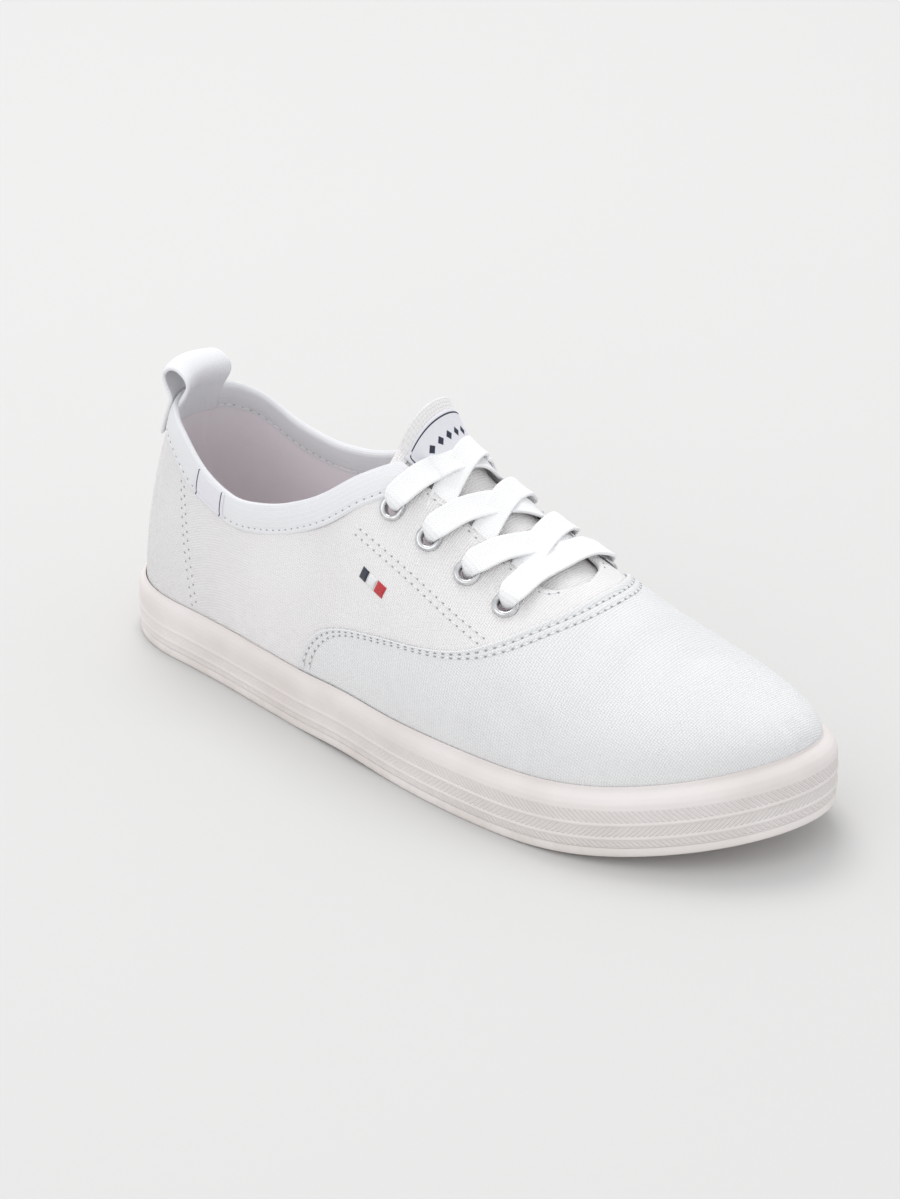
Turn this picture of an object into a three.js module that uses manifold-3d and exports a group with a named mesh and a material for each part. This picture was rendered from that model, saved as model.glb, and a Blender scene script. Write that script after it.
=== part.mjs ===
// A low canvas sneaker for the right foot, in millimetres. X points to the toe, Z up, the outer
// side of the foot is at -Y. The origin is on the floor under the middle of the heel.
import * as THREE from 'three';
import { mergeVertices } from 'three/addons/utils/BufferGeometryUtils.js';
import Module from 'manifold-3d';

const wasm = await Module();
wasm.setup();

// Driving sizes
const SOLE_LENGTH = 280;
const BALL_WIDTH = 96;
const INSTEP_HEIGHT = 97;
const HEEL_HEIGHT = 85;
const FOXING_HEIGHT = 23.5;
const BUMPER_DEPTH = 5;
const TOE_SPRING = 12.5;
const ARCH_LIFT = 1;
const OUTSOLE_EDGE = 3.4;
const OUTSOLE_BEVEL = 0.8;
const HEEL_FILL = 9;
const BALL_FILL = 5.5;
const INSOLE_THICKNESS = 3.6;
const INSOLE_ROUND = 1;
const UPPER_WALL = 1.7;
const UPPER_TUCK = 1;
const VAMP_STEP = 0.8;
const LIP_WIDTH = 0.7;
const RIB_HEIGHT = 0.4;
const BINDING_WIDTH = 9;
const BINDING_PROUD = 0.5;
const BINDING_SEAM = 0.6;
const TONGUE_THICKNESS = 2;
const TONGUE_LIFT = 13;
const TONGUE_NARROW = 1.35;
const THROAT_GAP = 29;
const THROAT_FLARE = 8;
const THROAT_SHIFT = 1;
const EYELET_FLANGE = 9;
const EYELET_BORE = 5;
const EYELET_PROUD = 0.9;
const EYELET_TUBE = 0.4;
const EYELET_SEAT = 0.4;
const EYELET_MARGIN = 13;
const LACE_WIDTH = 8.5;
const LACE_THICKNESS = 1.3;
const LACE_CROSSING = 0.5;
const LACE_ARCH = 1;
const LACE_SWELL = 0.2;
const LOOP_WIDTH = 22;
const LOOP_THICKNESS = 1.4;
const LOOP_RISE = 14;
const LOOP_SPAN = 16;
const LOOP_ROUND = 1.6;
const LOOP_SEAM = 0.65;
const LOOP_LEG = 14.4;
const LOOP_LEG_STEP = 3;
const LABEL_WIDTH = 28;
const LABEL_LENGTH = 14;
const LABEL_SHIFT = 2;
const LABEL_SEAM = 0.95;
const LABEL_THICKNESS = 0.5;
const TAB_LENGTH = 17;
const TAB_THICKNESS = 0.5;
const TAB_DROP = 0.8;
const FIT = 0.3;
const EYELET_ROWS = 4;

// Places along the sole, as shares of its length from the back of the heel
const HEEL_SEAT = 0.16;
const HEEL_ROUND = 0.13;
const TOE_ROUND = 0.72;
const SPRING_START = 0.68;
const ARCH_START = 0.34;
const ARCH_END = 0.54;
const CREST_TOE = 0.86;
const CREST_TOE_START = 0.7;
const CREST_HEEL = 0.16;
const CREST_HEEL_START = 0.27;
const COLLAR_FRONT = 0.465;
const THROAT_BACK = 0.37;
const THROAT_FRONT = 0.672;
const THROAT_ROUND = 0.64;
const EYELET_TOP = 0.463;
const EYELET_BOTTOM = 0.631;
const TONGUE_TOP = 0.434;
const TONGUE_FREE = 0.52;
const TONGUE_ROOT = 0.7;
const LABEL_AT = 0.472;
const TAB_AT = 0.17;
const COLLAR_LOW = 0.21;
const COLLAR_HIGH = 0.41;
const FILL_START = 0.2;
const FILL_END = 0.6;
// Where a lace comes up beside the tongue: share of the way to the next row, and of the reach
const LACE_START = 0.58;
const LACE_START_REACH = 0.52;
// Tongue: half widths at the top and the root as shares of the ball width, length of its round
// top as a share of its own
const TONGUE_WIDE_SHARE = 0.31;
const TONGUE_SLIM_SHARE = 0.2;
const TONGUE_ROUND_SHARE = 0.07;
// Powers that set how blunt the round ends are
const TOE_POWER = 2.3;
const HEEL_POWER = 2.2;
const THROAT_POWER = 2.2;
const SMALL = 0.01;

// Sole outline: middle line and half width as shares of the ball width, foxing height as a
// share of its height at the toe, depth of its rounded top as a share of the bumper's
const SOLE = [
  { at: 0.0, middle: 0.012, half: 0.328, foxing: 0.87, lip: 0.4 },
  { at: 0.1, middle: 0.012, half: 0.326, foxing: 0.87, lip: 0.4 },
  { at: 0.2, middle: 0.0, half: 0.338, foxing: 0.87, lip: 0.4 },
  { at: 0.3, middle: -0.028, half: 0.35, foxing: 0.87, lip: 0.4 },
  { at: 0.4, middle: -0.05, half: 0.37, foxing: 0.88, lip: 0.4 },
  { at: 0.5, middle: -0.05, half: 0.408, foxing: 0.9, lip: 0.44 },
  { at: 0.6, middle: -0.02, half: 0.47, foxing: 0.93, lip: 0.6 },
  { at: 0.7, middle: 0.005, half: 0.5, foxing: 0.945, lip: 0.76 },
  { at: 0.8, middle: 0.032, half: 0.5, foxing: 0.96, lip: 0.88 },
  { at: 0.9, middle: 0.07, half: 0.475, foxing: 0.98, lip: 0.96 },
  { at: 1.0, middle: 0.115, half: 0.45, foxing: 1.0, lip: 1.0 },
];

// Last: height of the crest line as a share of the instep height, its sideways place as a share
// of the ball width, how far the wall rises before it turns in, and how flat the crown is
const LAST = [
  { at: 0.1, height: 1.25, side: 0.0, rise: 0.38, crown: 0.5 },
  { at: 0.2, height: 1.26, side: 0.0, rise: 0.42, crown: 0.48 },
  { at: 0.3, height: 1.22, side: 0.005, rise: 0.48, crown: 0.45 },
  { at: 0.4, height: 1.135, side: 0.02, rise: 0.52, crown: 0.5 },
  { at: 0.5, height: 0.985, side: 0.045, rise: 0.52, crown: 0.6 },
  { at: 0.6, height: 0.805, side: 0.065, rise: 0.52, crown: 0.62 },
  { at: 0.7, height: 0.68, side: 0.065, rise: 0.5, crown: 0.6 },
  { at: 0.8, height: 0.577, side: 0.068, rise: 0.5, crown: 0.6 },
  { at: 0.87, height: 0.515, side: 0.078, rise: 0.55, crown: 0.6 },
];

// Collar line seen from the side: heights of the outer and inner side as shares of the height
// that the line follows, which is the heel's at the back and the instep's at the front
const COLLAR = [
  { at: -0.1, outer: 0.98, inner: 0.98 },
  { at: 0.03, outer: 1.0, inner: 1.0 },
  { at: 0.07, outer: 1.0, inner: 1.0 },
  { at: 0.11, outer: 0.945, inner: 0.96 },
  { at: 0.16, outer: 0.825, inner: 0.89 },
  { at: 0.21, outer: 0.775, inner: 0.86 },
  { at: 0.26, outer: 0.7827, inner: 0.8463 },
  { at: 0.31, outer: 0.8033, inner: 0.8407 },
  { at: 0.36, outer: 0.8489, inner: 0.8668 },
  { at: 0.41, outer: 0.942, inner: 0.9464 },
  { at: 0.44, outer: 0.99, inner: 0.99 },
  { at: COLLAR_FRONT, outer: 1.015, inner: 1.015 },
];

// Back edge of the vamp seen from the side, heights as shares of the instep height
const VAMP_EDGE = [
  { at: 0.352, height: 0.1 },
  { at: 0.356, height: 0.26 },
  { at: 0.382, height: 0.38 },
  { at: 0.423, height: 0.445 },
  { at: 0.488, height: 0.485 },
  { at: 0.554, height: 0.51 },
  { at: 0.605, height: 0.54 },
  { at: 0.642, height: 0.585 },
  { at: 0.67, height: 0.632 },
  { at: 0.696, height: 0.675 },
  { at: 0.716, height: 0.73 },
  { at: 0.73, height: 0.85 },
];

// Foxing profile from the floor up: ribs sit at these shares of its height
const RIB_PLACES = [0.3, 0.52];
const RIB_HALF = 0.03;
const RIB_FLAT = 0.014;
// Rounded top of the foxing: depth as a share of the lip depth, height as a share of the foxing's
const FOXING_TOP = [
  { depth: 0, height: 0.72 },
  { depth: 0.1, height: 0.81 },
  { depth: 0.4, height: 0.905 },
  { depth: 0.78, height: 0.972 },
  { depth: 1, height: 1 },
];

// Mesh steps
const SIDE_STEPS = 30;
const WALL_STEPS = 7;
const COLLAR_STEPS = 20;
const TONGUE_STEPS = 12;
const TONGUE_ACROSS = 16;
const LACE_STEPS = 10;
const EYELET_SIDES = 10;
// Cuts and forms that reach past the shoe
const SWEEP_WIDTH = 80;
const SKY = 220;
const CUT_REACH = 8;
const OUTER = -1;
const INNER = 1;

const clamp = (value, low, high) => Math.min(high, Math.max(low, value));
const mix = (a, b, share) => a + (b - a) * share;
const ease = (share) => share * share * (3 - 2 * share);
const steps = (count) => Array.from({ length: count + 1 }, (_, i) => i / count);

// Smooth value of one column of a table at a place between its rows
function read(table, column, at) {
  const last = table.length - 1;
  const place = clamp(at, table[0].at, table[last].at);
  let i = 0;
  while (i < last - 1 && place > table[i + 1].at) i += 1;
  const slope = (k) => {
    const a = table[Math.max(0, k - 1)];
    const b = table[Math.min(last, k + 1)];
    return (b[column] - a[column]) / (b.at - a.at);
  };
  const span = table[i + 1].at - table[i].at;
  const t = (place - table[i].at) / span;
  const near = t * (1 - t) * (1 - t);
  const far = t * t * (t - 1);
  return (
    mix(table[i][column], table[i + 1][column], ease(t)) +
    span * (near * slope(i) + far * slope(i + 1))
  );
}

// Half width of the sole closes to nothing at the toe and the heel
function closure(at) {
  const toe = clamp((at - TOE_ROUND) / (1 - TOE_ROUND), 0, 1);
  const heel = clamp((HEEL_ROUND - at) / HEEL_ROUND, 0, 1);
  return Math.sqrt((1 - toe ** TOE_POWER) * (1 - heel ** HEEL_POWER));
}

// Place along the crest line that belongs to a place along the sole edge
function crestPlace(at) {
  if (at > CREST_TOE_START) {
    const reach = CREST_TOE - CREST_TOE_START;
    const t = (at - CREST_TOE_START) / (1 - CREST_TOE_START);
    return CREST_TOE_START + reach * (1 - (1 - t) ** ((1 - CREST_TOE_START) / reach));
  }
  if (at < CREST_HEEL_START) {
    const reach = CREST_HEEL_START - CREST_HEEL;
    const t = (CREST_HEEL_START - at) / CREST_HEEL_START;
    return CREST_HEEL_START - reach * (1 - (1 - t) ** (CREST_HEEL_START / reach));
  }
  return at;
}

const crestHeight = (place) => read(LAST, 'height', place) * INSTEP_HEIGHT;
const crestSide = (place) => read(LAST, 'side', place) * BALL_WIDTH;
const foxingHeight = (at) => read(SOLE, 'foxing', at) * FOXING_HEIGHT;
const lipDepth = (at) => read(SOLE, 'lip', at) * BUMPER_DEPTH;
const foxingDepth = (at) => lipDepth(at) + LIP_WIDTH;
const shellInset = (at) => foxingDepth(at) + FIT;
const platformInset = (at) => shellInset(at) + UPPER_WALL + FIT;

function bottomHeight(at) {
  const spring = clamp((at - SPRING_START) / (1 - SPRING_START), 0, 1);
  const arch = clamp((at - ARCH_START) / (ARCH_END - ARCH_START), 0, 1);
  return TOE_SPRING * spring ** 2 + ARCH_LIFT * Math.sin(Math.PI * arch) ** 2;
}

// Unit step in plan from the sole edge towards the crest line
function inward(at, side) {
  const place = crestPlace(at);
  const edge = [at * SOLE_LENGTH, read(SOLE, 'middle', at) * BALL_WIDTH];
  edge[1] += side * read(SOLE, 'half', at) * closure(at) * BALL_WIDTH;
  const across = [place * SOLE_LENGTH - edge[0], crestSide(place) - edge[1]];
  const reach = Math.hypot(across[0], across[1]);
  return { edge, reach, step: [across[0] / reach, across[1] / reach] };
}

function soleEdge(at, side, inset, height) {
  const { edge, step } = inward(at, side);
  return new THREE.Vector3(edge[0] + step[0] * inset, edge[1] + step[1] * inset, height);
}

// Point on the upper's outer face: climb goes from 0 at the foxing to 1 on the crest line
function shellPoint(at, side, climb, proud = 0) {
  const { edge, reach, step } = inward(at, side);
  const place = crestPlace(at);
  const rise = crestHeight(place + SMALL) - crestHeight(place - SMALL);
  const slope = rise / (2 * SMALL * SOLE_LENGTH);
  const inset = shellInset(at) - proud;
  const foot = new THREE.Vector3(edge[0] + step[0] * inset, edge[1] + step[1] * inset, 0);
  foot.z = bottomHeight(at) + foxingHeight(at) - UPPER_TUCK;
  const width = reach - inset;
  const lean = proud / Math.hypot(1, slope);
  const crest = new THREE.Vector3(place * SOLE_LENGTH - lean * slope, crestSide(place), 0);
  crest.z = crestHeight(place) + lean;
  const wall = foot.clone();
  wall.z += read(LAST, 'rise', at) * (crest.z - foot.z);
  const crown = crest.clone();
  const flat = read(LAST, 'crown', at) * width;
  crown.add(new THREE.Vector3(-step[0] * flat, -step[1] * flat, -step[0] * flat * slope));
  return new THREE.CubicBezierCurve3(foot, wall, crown, crest).getPoint(clamp(climb, 0, 1));
}

// Point across the instep: reach runs from -1 at the outer foxing over 0 to 1 at the inner one
function crossPoint(at, reach, proud) {
  return shellPoint(at, reach < 0 ? OUTER : INNER, 1 - Math.abs(reach), proud);
}

function crossNormal(at, reach) {
  const along = crossPoint(at + SMALL, reach, 0).sub(crossPoint(at - SMALL, reach, 0));
  const over = crossPoint(at, reach + SMALL, 0).sub(crossPoint(at, reach - SMALL, 0));
  return along.cross(over).normalize();
}

// Share of the way from the crest to the foxing that lies this far from the crest line
function crossReach(at, side, distance) {
  const step = SMALL * side * Math.sign(distance);
  let reach = 0;
  let left = Math.abs(distance);
  let here = crossPoint(at, 0, 0);
  while (left > 0 && Math.abs(reach) < 1) {
    const next = crossPoint(at, reach + step, 0);
    const stride = next.distanceTo(here);
    reach += step * Math.min(1, left / stride);
    left -= stride;
    here = next;
  }
  return reach;
}

// Closed surface from rows of points: each row has an upper and a lower line of equal length
function plate(rows) {
  const count = rows[0].upper.length;
  const flat = [];
  const quad = (a, b, c, d) => flat.push(a, b, c, a, c, d);
  for (let i = 0; i < rows.length - 1; i += 1) {
    const a = rows[i];
    const b = rows[i + 1];
    for (let j = 0; j < count - 1; j += 1) {
      quad(a.upper[j], b.upper[j], b.upper[j + 1], a.upper[j + 1]);
      quad(a.lower[j + 1], b.lower[j + 1], b.lower[j], a.lower[j]);
    }
    quad(a.lower[0], b.lower[0], b.upper[0], a.upper[0]);
    quad(a.upper[count - 1], b.upper[count - 1], b.lower[count - 1], a.lower[count - 1]);
  }
  // A line folded on itself closes that end already
  const folded = (line) => line.every((corner, j) => corner.distanceTo(line[count - 1 - j]) < 1e-3);
  for (const [row, turned] of [[rows[0], false], [rows[rows.length - 1], true]]) {
    const closed = folded(row.upper) && folded(row.lower);
    for (let j = 0; !closed && j < count - 1; j += 1) {
      const corners = [row.upper[j], row.upper[j + 1], row.lower[j + 1], row.lower[j]];
      quad(...(turned ? corners.reverse() : corners));
    }
  }
  return solidFrom(flat);
}

// Closed ring from sections that all have the same number of corners
function ring(sections) {
  const flat = [];
  sections.forEach((section, i) => {
    const next = sections[(i + 1) % sections.length];
    section.forEach((corner, j) => {
      const k = (j + 1) % section.length;
      flat.push(corner, next[j], next[k], corner, next[k], section[k]);
    });
  });
  return solidFrom(flat);
}

function solidFrom(corners) {
  const geometry = new THREE.BufferGeometry().setFromPoints(corners);
  return toSolid(geometry);
}

function toSolid(geometry) {
  const bare = geometry.clone();
  bare.deleteAttribute('normal');
  bare.deleteAttribute('uv');
  const merged = mergeVertices(bare, 1e-3);
  const kept = [];
  const index = merged.index.array;
  for (let i = 0; i < index.length; i += 3) {
    const [a, b, c] = [index[i], index[i + 1], index[i + 2]];
    if (a !== b && b !== c && c !== a) kept.push(a, b, c);
  }
  const mesh = new wasm.Mesh({
    numProp: 3,
    vertProperties: new Float32Array(merged.attributes.position.array),
    triVerts: new Uint32Array(kept),
  });
  const solid = new wasm.Manifold(mesh);
  return solid.volume() < 0 ? turned(mesh) : solid;
}

// The same surface with its faces pointing the other way
function turned(mesh) {
  const triVerts = mesh.triVerts.slice();
  for (let i = 0; i < triVerts.length; i += 3) {
    [triVerts[i], triVerts[i + 1]] = [triVerts[i + 1], triVerts[i]];
  }
  const { numProp, vertProperties } = mesh;
  return new wasm.Manifold(new wasm.Mesh({ numProp, vertProperties, triVerts }));
}

function toGeometry(solid) {
  const { vertProperties, triVerts } = solid.getMesh();
  const geometry = new THREE.BufferGeometry();
  geometry.setAttribute('position', new THREE.BufferAttribute(vertProperties.slice(), 3));
  geometry.setIndex(new THREE.BufferAttribute(triVerts.slice(), 1));
  geometry.computeVertexNormals();
  return geometry;
}

// Stations from toe to heel, closer together where the outline turns
const stations = steps(SIDE_STEPS).map((t) => (1 + Math.cos(Math.PI * t)) / 2);

const upperFoot = (at) => bottomHeight(at) + OUTSOLE_EDGE + FIT;

// Closed form of the last: proud of the upper's outer face, and open space when it is negative
function lastSolid(proud, deeper, flush = false) {
  const rows = stations.map((at) => {
    const half = (side) => {
      const foot = soleEdge(at, side, shellInset(at) - (flush ? 0 : proud), upperFoot(at) - deeper);
      const line = [foot];
      for (const t of steps(WALL_STEPS)) {
        const fade = flush ? clamp(t * WALL_STEPS, 0, 1) : 1;
        line.push(shellPoint(at, side, t ** 1.15, proud * fade));
      }
      return line;
    };
    const outer = half(OUTER);
    const inner = half(INNER).reverse().slice(1);
    const upper = [...outer, ...inner];
    const end = upper.length - 1;
    const margin = (side) => soleEdge(at, side, platformInset(at) + 1, upperFoot(at) - deeper);
    const lower = upper.map((_, j) => margin(OUTER).lerp(margin(INNER), (j - 1) / (end - 2)));
    lower[0] = upper[0];
    lower[end] = upper[end];
    return { upper, lower };
  });
  return plate(rows);
}

// Height of the collar line seen from the side
function collarHeight(column, at) {
  const way = (at - COLLAR_LOW) / (COLLAR_HIGH - COLLAR_LOW);
  return read(COLLAR, column, at) * mix(HEEL_HEIGHT, INSTEP_HEIGHT, ease(clamp(way, 0, 1)));
}

// Everything above the collar line, which is lowered by drop square to itself
function aboveCollar(drop) {
  const start = COLLAR[0].at;
  const line = (column, t) => {
    const at = mix(start, COLLAR_FRONT, t);
    return new THREE.Vector2(at * SOLE_LENGTH, collarHeight(column, at));
  };
  const lowered = (column, t) => {
    const run = line(column, t + SMALL).sub(line(column, t - SMALL)).normalize();
    return line(column, t).add(new THREE.Vector2(run.y, -run.x).multiplyScalar(drop));
  };
  const rows = steps(COLLAR_STEPS).map((t) => {
    const outer = lowered('outer', t);
    const inner = lowered('inner', t);
    return {
      upper: [
        new THREE.Vector3(outer.x, -SWEEP_WIDTH / 2, SKY),
        new THREE.Vector3(inner.x, SWEEP_WIDTH / 2, SKY),
      ],
      lower: [
        new THREE.Vector3(outer.x, -SWEEP_WIDTH / 2, outer.y),
        new THREE.Vector3(inner.x, SWEEP_WIDTH / 2, inner.y),
      ],
    };
  });
  return plate(rows);
}

// Half of the throat's gap on one side, measured over the instep from the crest line. It lies
// a little to the outer side, opens towards the collar and closes round at its front
function throatHalf(at, side) {
  const front = clamp((at - THROAT_ROUND) / (THROAT_FRONT - THROAT_ROUND), 0, 1);
  const open = clamp((THROAT_ROUND - at) / (THROAT_ROUND - THROAT_BACK), 0, 1);
  const half = (THROAT_GAP + THROAT_FLARE * open) / 2;
  return half * Math.sqrt(1 - front ** THROAT_POWER) - side * THROAT_SHIFT;
}

const throatEdge = (at, side) => crossReach(at, side, throatHalf(at, side));

function throatCut() {
  const rows = steps(SIDE_STEPS).map((t) => {
    const at = mix(THROAT_BACK, THROAT_FRONT, Math.sin((Math.PI / 2) * t));
    const left = throatEdge(at, OUTER);
    const right = throatEdge(at, INNER);
    const line = (proud) => steps(6).map((s) => crossPoint(at, mix(left, right, s), proud));
    return { upper: line(CUT_REACH), lower: line(-CUT_REACH) };
  });
  return plate(rows);
}

// The vamp is the part of the upper ahead of its back edge, seen from the side
function vampRegion() {
  const edge = VAMP_EDGE.map(
    ({ at, height }) => new THREE.Vector2(at * SOLE_LENGTH, height * INSTEP_HEIGHT),
  );
  const ahead = 1.1 * SOLE_LENGTH;
  const shape = new THREE.Shape([new THREE.Vector2(edge[0].x, -FOXING_HEIGHT)]);
  shape.lineTo(edge[0].x, edge[0].y);
  shape.splineThru(edge.slice(1));
  shape.lineTo(ahead, edge[edge.length - 1].y);
  shape.lineTo(ahead, -FOXING_HEIGHT);
  const settings = { depth: 2 * SWEEP_WIDTH, bevelEnabled: false, curveSegments: 3 };
  const prism = new THREE.ExtrudeGeometry(shape, settings);
  prism.rotateX(Math.PI / 2);
  prism.translate(0, SWEEP_WIDTH, 0);
  return toSolid(prism);
}

// Where each eyelet sits, with its direction out of the upper
function eyeletSeats() {
  const seats = [];
  for (let row = 0; row < EYELET_ROWS; row += 1) {
    const at = mix(EYELET_TOP, EYELET_BOTTOM, row / (EYELET_ROWS - 1));
    for (const side of [OUTER, INNER]) {
      const reach = crossReach(at, side, throatHalf(at, side) + EYELET_MARGIN);
      const place = crossPoint(at, reach, 0);
      seats.push({ row: row + 1, side, at, reach, place, out: crossNormal(at, reach) });
    }
  }
  return seats;
}

function seated(geometry, seat) {
  const up = new THREE.Vector3(0, 1, 0);
  geometry.applyQuaternion(new THREE.Quaternion().setFromUnitVectors(up, seat.out));
  return geometry.translate(seat.place.x, seat.place.y, seat.place.z);
}

const tubeRadius = EYELET_BORE / 2 + EYELET_TUBE;

function eyeletHole(seat) {
  const radius = tubeRadius + FIT;
  const drill = new THREE.CylinderGeometry(radius, radius, CUT_REACH, EYELET_SIDES);
  return toSolid(seated(drill, seat));
}

// Rolled flange on the outside and a short tube through the upper
function eyelet(seat) {
  const bore = EYELET_BORE / 2;
  const flange = EYELET_FLANGE / 2;
  const profile = [
    [bore, -UPPER_WALL],
    [tubeRadius, -UPPER_WALL],
    [tubeRadius, EYELET_SEAT],
    [flange, EYELET_SEAT],
    [flange - 0.3, EYELET_SEAT + 0.6 * EYELET_PROUD],
    [mix(flange, bore, 0.45), EYELET_SEAT + EYELET_PROUD],
    [bore + 0.15, EYELET_SEAT + 0.55 * EYELET_PROUD],
    [bore, 0],
    [bore, -UPPER_WALL],
  ].map(([radius, height]) => new THREE.Vector2(radius, height));
  return toSolid(seated(new THREE.LatheGeometry(profile, EYELET_SIDES), seat));
}

const seats = eyeletSeats();
const insideSpace = lastSolid(-UPPER_WALL, 12);
const throat = throatCut();

function upper() {
  const vamp = lastSolid(VAMP_STEP, 0, true).intersect(vampRegion());
  let shell = lastSolid(0, 0).add(vamp).subtract(insideSpace);
  shell = shell.subtract(aboveCollar(BINDING_WIDTH + BINDING_SEAM)).subtract(throat);
  for (const seat of seats) shell = shell.subtract(eyeletHole(seat));
  return shell;
}

function collarBinding() {
  const band = lastSolid(BINDING_PROUD, 0).subtract(lastSolid(-UPPER_WALL - BINDING_PROUD, 12));
  return band.intersect(aboveCollar(BINDING_WIDTH)).subtract(aboveCollar(0)).subtract(throat);
}

// Wall of the foxing round the whole sole, with its two ribs and rounded top
function foxing() {
  const around = [
    ...stations.map((at) => ({ at, side: OUTER })),
    ...stations.slice(1, -1).reverse().map((at) => ({ at, side: INNER })),
  ];
  const section = ({ at, side }) => {
    const tall = foxingHeight(at);
    const corner = (depth, share) => soleEdge(at, side, depth, bottomHeight(at) + share * tall);
    const start = (OUTSOLE_EDGE + FIT) / tall;
    const line = [corner(0, start)];
    for (const rib of RIB_PLACES) {
      line.push(corner(0, rib - RIB_HALF), corner(-RIB_HEIGHT, rib - RIB_FLAT));
      line.push(corner(-RIB_HEIGHT, rib + RIB_FLAT), corner(0, rib + RIB_HALF));
    }
    for (const { depth, height } of FOXING_TOP) line.push(corner(depth * lipDepth(at), height));
    line.push(corner(foxingDepth(at), 1), corner(foxingDepth(at), start));
    return line;
  };
  return ring(around.map(section));
}

function platformTop(at) {
  const t = clamp((at - FILL_START) / (FILL_END - FILL_START), 0, 1);
  return bottomHeight(at) + mix(HEEL_FILL, BALL_FILL, ease(t));
}

// Bottom plate out to the edge, with the raised bed that carries the insole
function outsole() {
  const rows = stations.map((at) => {
    const edgeTop = bottomHeight(at) + OUTSOLE_EDGE;
    const low = bottomHeight(at);
    const inset = platformInset(at);
    const upperHalf = (side) => [
      soleEdge(at, side, 0, edgeTop),
      soleEdge(at, side, inset, edgeTop),
      soleEdge(at, side, inset, platformTop(at)),
    ];
    const lowerHalf = (side) => [
      soleEdge(at, side, 0, low + OUTSOLE_BEVEL),
      soleEdge(at, side, OUTSOLE_BEVEL, low),
      soleEdge(at, side, inset, low),
    ];
    return {
      upper: [...upperHalf(OUTER), ...upperHalf(INNER).reverse()],
      lower: [...lowerHalf(OUTER), ...lowerHalf(INNER).reverse()],
    };
  });
  return plate(rows);
}

function insole() {
  const rows = stations.map((at) => {
    const low = platformTop(at) + FIT;
    const top = low + INSOLE_THICKNESS;
    const inset = platformInset(at);
    const upperHalf = (side) => [
      soleEdge(at, side, inset, top - INSOLE_ROUND),
      soleEdge(at, side, inset + INSOLE_ROUND, top),
    ];
    const lowerHalf = (side) => [
      soleEdge(at, side, inset, low),
      soleEdge(at, side, inset + INSOLE_ROUND, low),
    ];
    return {
      upper: [...upperHalf(OUTER), ...upperHalf(INNER).reverse()],
      lower: [...lowerHalf(OUTER), ...lowerHalf(INNER).reverse()],
    };
  });
  return plate(rows);
}

// How far the tongue's outer face stands from the upper's: its middle lifts through the throat
// towards the free end, while its sides stay under the quarters
function tongueProud(at, reach) {
  const free = clamp((TONGUE_FREE - at) / (TONGUE_FREE - TONGUE_TOP), 0, 1);
  const [left, right] = [throatEdge(at, OUTER), throatEdge(at, INNER)];
  const off = (2 * reach - left - right) / (right - left);
  const bulge = Math.max(0, 1 - (TONGUE_NARROW * off) ** 4);
  return -UPPER_WALL - BINDING_PROUD - 2 * FIT + TONGUE_LIFT * free ** 1.5 * bulge;
}

// Half width of the tongue over the instep, round at the top and narrow at the root
function tongueHalf(at) {
  const t = (at - TONGUE_TOP) / (TONGUE_ROOT - TONGUE_TOP);
  const wide = mix(TONGUE_WIDE_SHARE, TONGUE_SLIM_SHARE, t) * BALL_WIDTH;
  return wide * Math.sqrt(1 - 0.5 * (1 - clamp(t / TONGUE_ROUND_SHARE, 0, 1)) ** 2);
}

function tonguePoint(at, share, extra) {
  const reach = share * Math.abs(crossReach(at, share < 0 ? OUTER : INNER, tongueHalf(at)));
  return crossPoint(at, reach, tongueProud(at, reach) + extra);
}

function tongue() {
  const rows = steps(TONGUE_STEPS).map((t) => {
    const at = mix(TONGUE_TOP, TONGUE_ROOT, t ** 1.3);
    const line = (extra) => steps(TONGUE_ACROSS).map((s) => tonguePoint(at, 2 * s - 1, extra));
    return { upper: line(0), lower: line(-TONGUE_THICKNESS) };
  });
  return plate(rows);
}

function tongueLabel() {
  const half = LABEL_LENGTH / 2 / SOLE_LENGTH / 1.2;
  const rows = steps(6).map((t) => {
    const at = mix(LABEL_AT - half, LABEL_AT + half, t);
    const line = (extra) =>
      steps(10).map((s) => {
        const across = (s - 0.5) * LABEL_WIDTH - LABEL_SHIFT;
        return tonguePoint(at, across / tongueHalf(at), extra);
      });
    return { upper: line(LABEL_SEAM + LABEL_THICKNESS), lower: line(LABEL_SEAM) };
  });
  return plate(rows);
}

// Flat strip along a line of points, lying square to the given directions
function strip(path, width, thickness) {
  const rows = path.map(({ centre, along, out }) => {
    const across = new THREE.Vector3().crossVectors(out, along).normalize();
    const corner = (side, lift) =>
      centre.clone().addScaledVector(across, (side * width) / 2).addScaledVector(out, lift);
    return {
      upper: [corner(-1, thickness), corner(1, thickness)],
      lower: [corner(-1, 0), corner(1, 0)],
    };
  });
  return plate(rows);
}

// Lace run from one place on the instep to another, with the height of its lower face
function laceRun(from, to, height) {
  const spot = (t) => {
    const at = mix(from.at, to.at, t);
    const reach = mix(from.reach, to.reach, t);
    return { at, reach, out: crossNormal(at, clamp(reach, -0.9, 0.9)) };
  };
  const centre = (t) => {
    const { at, reach } = spot(t);
    return crossPoint(at, reach, height(t));
  };
  const path = steps(LACE_STEPS).map((t) => {
    const along = centre(Math.min(1, t + SMALL)).sub(centre(Math.max(0, t - SMALL))).normalize();
    const out = spot(t).out;
    out.addScaledVector(along, -out.dot(along)).normalize();
    return { centre: centre(t), along, out };
  });
  return strip(path, LACE_WIDTH, LACE_THICKNESS);
}

const laceClear = EYELET_SEAT + EYELET_PROUD + 2 * FIT;
const seatAt = (row, side) => seats.find((each) => each.row === row && each.side === side);

// Straight bar over the bottom pair of eyelets
function laceBar() {
  const height = (t) => laceClear + LACE_ARCH * Math.sin(Math.PI * t);
  return laceRun(seatAt(EYELET_ROWS, OUTER), seatAt(EYELET_ROWS, INNER), height);
}

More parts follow.
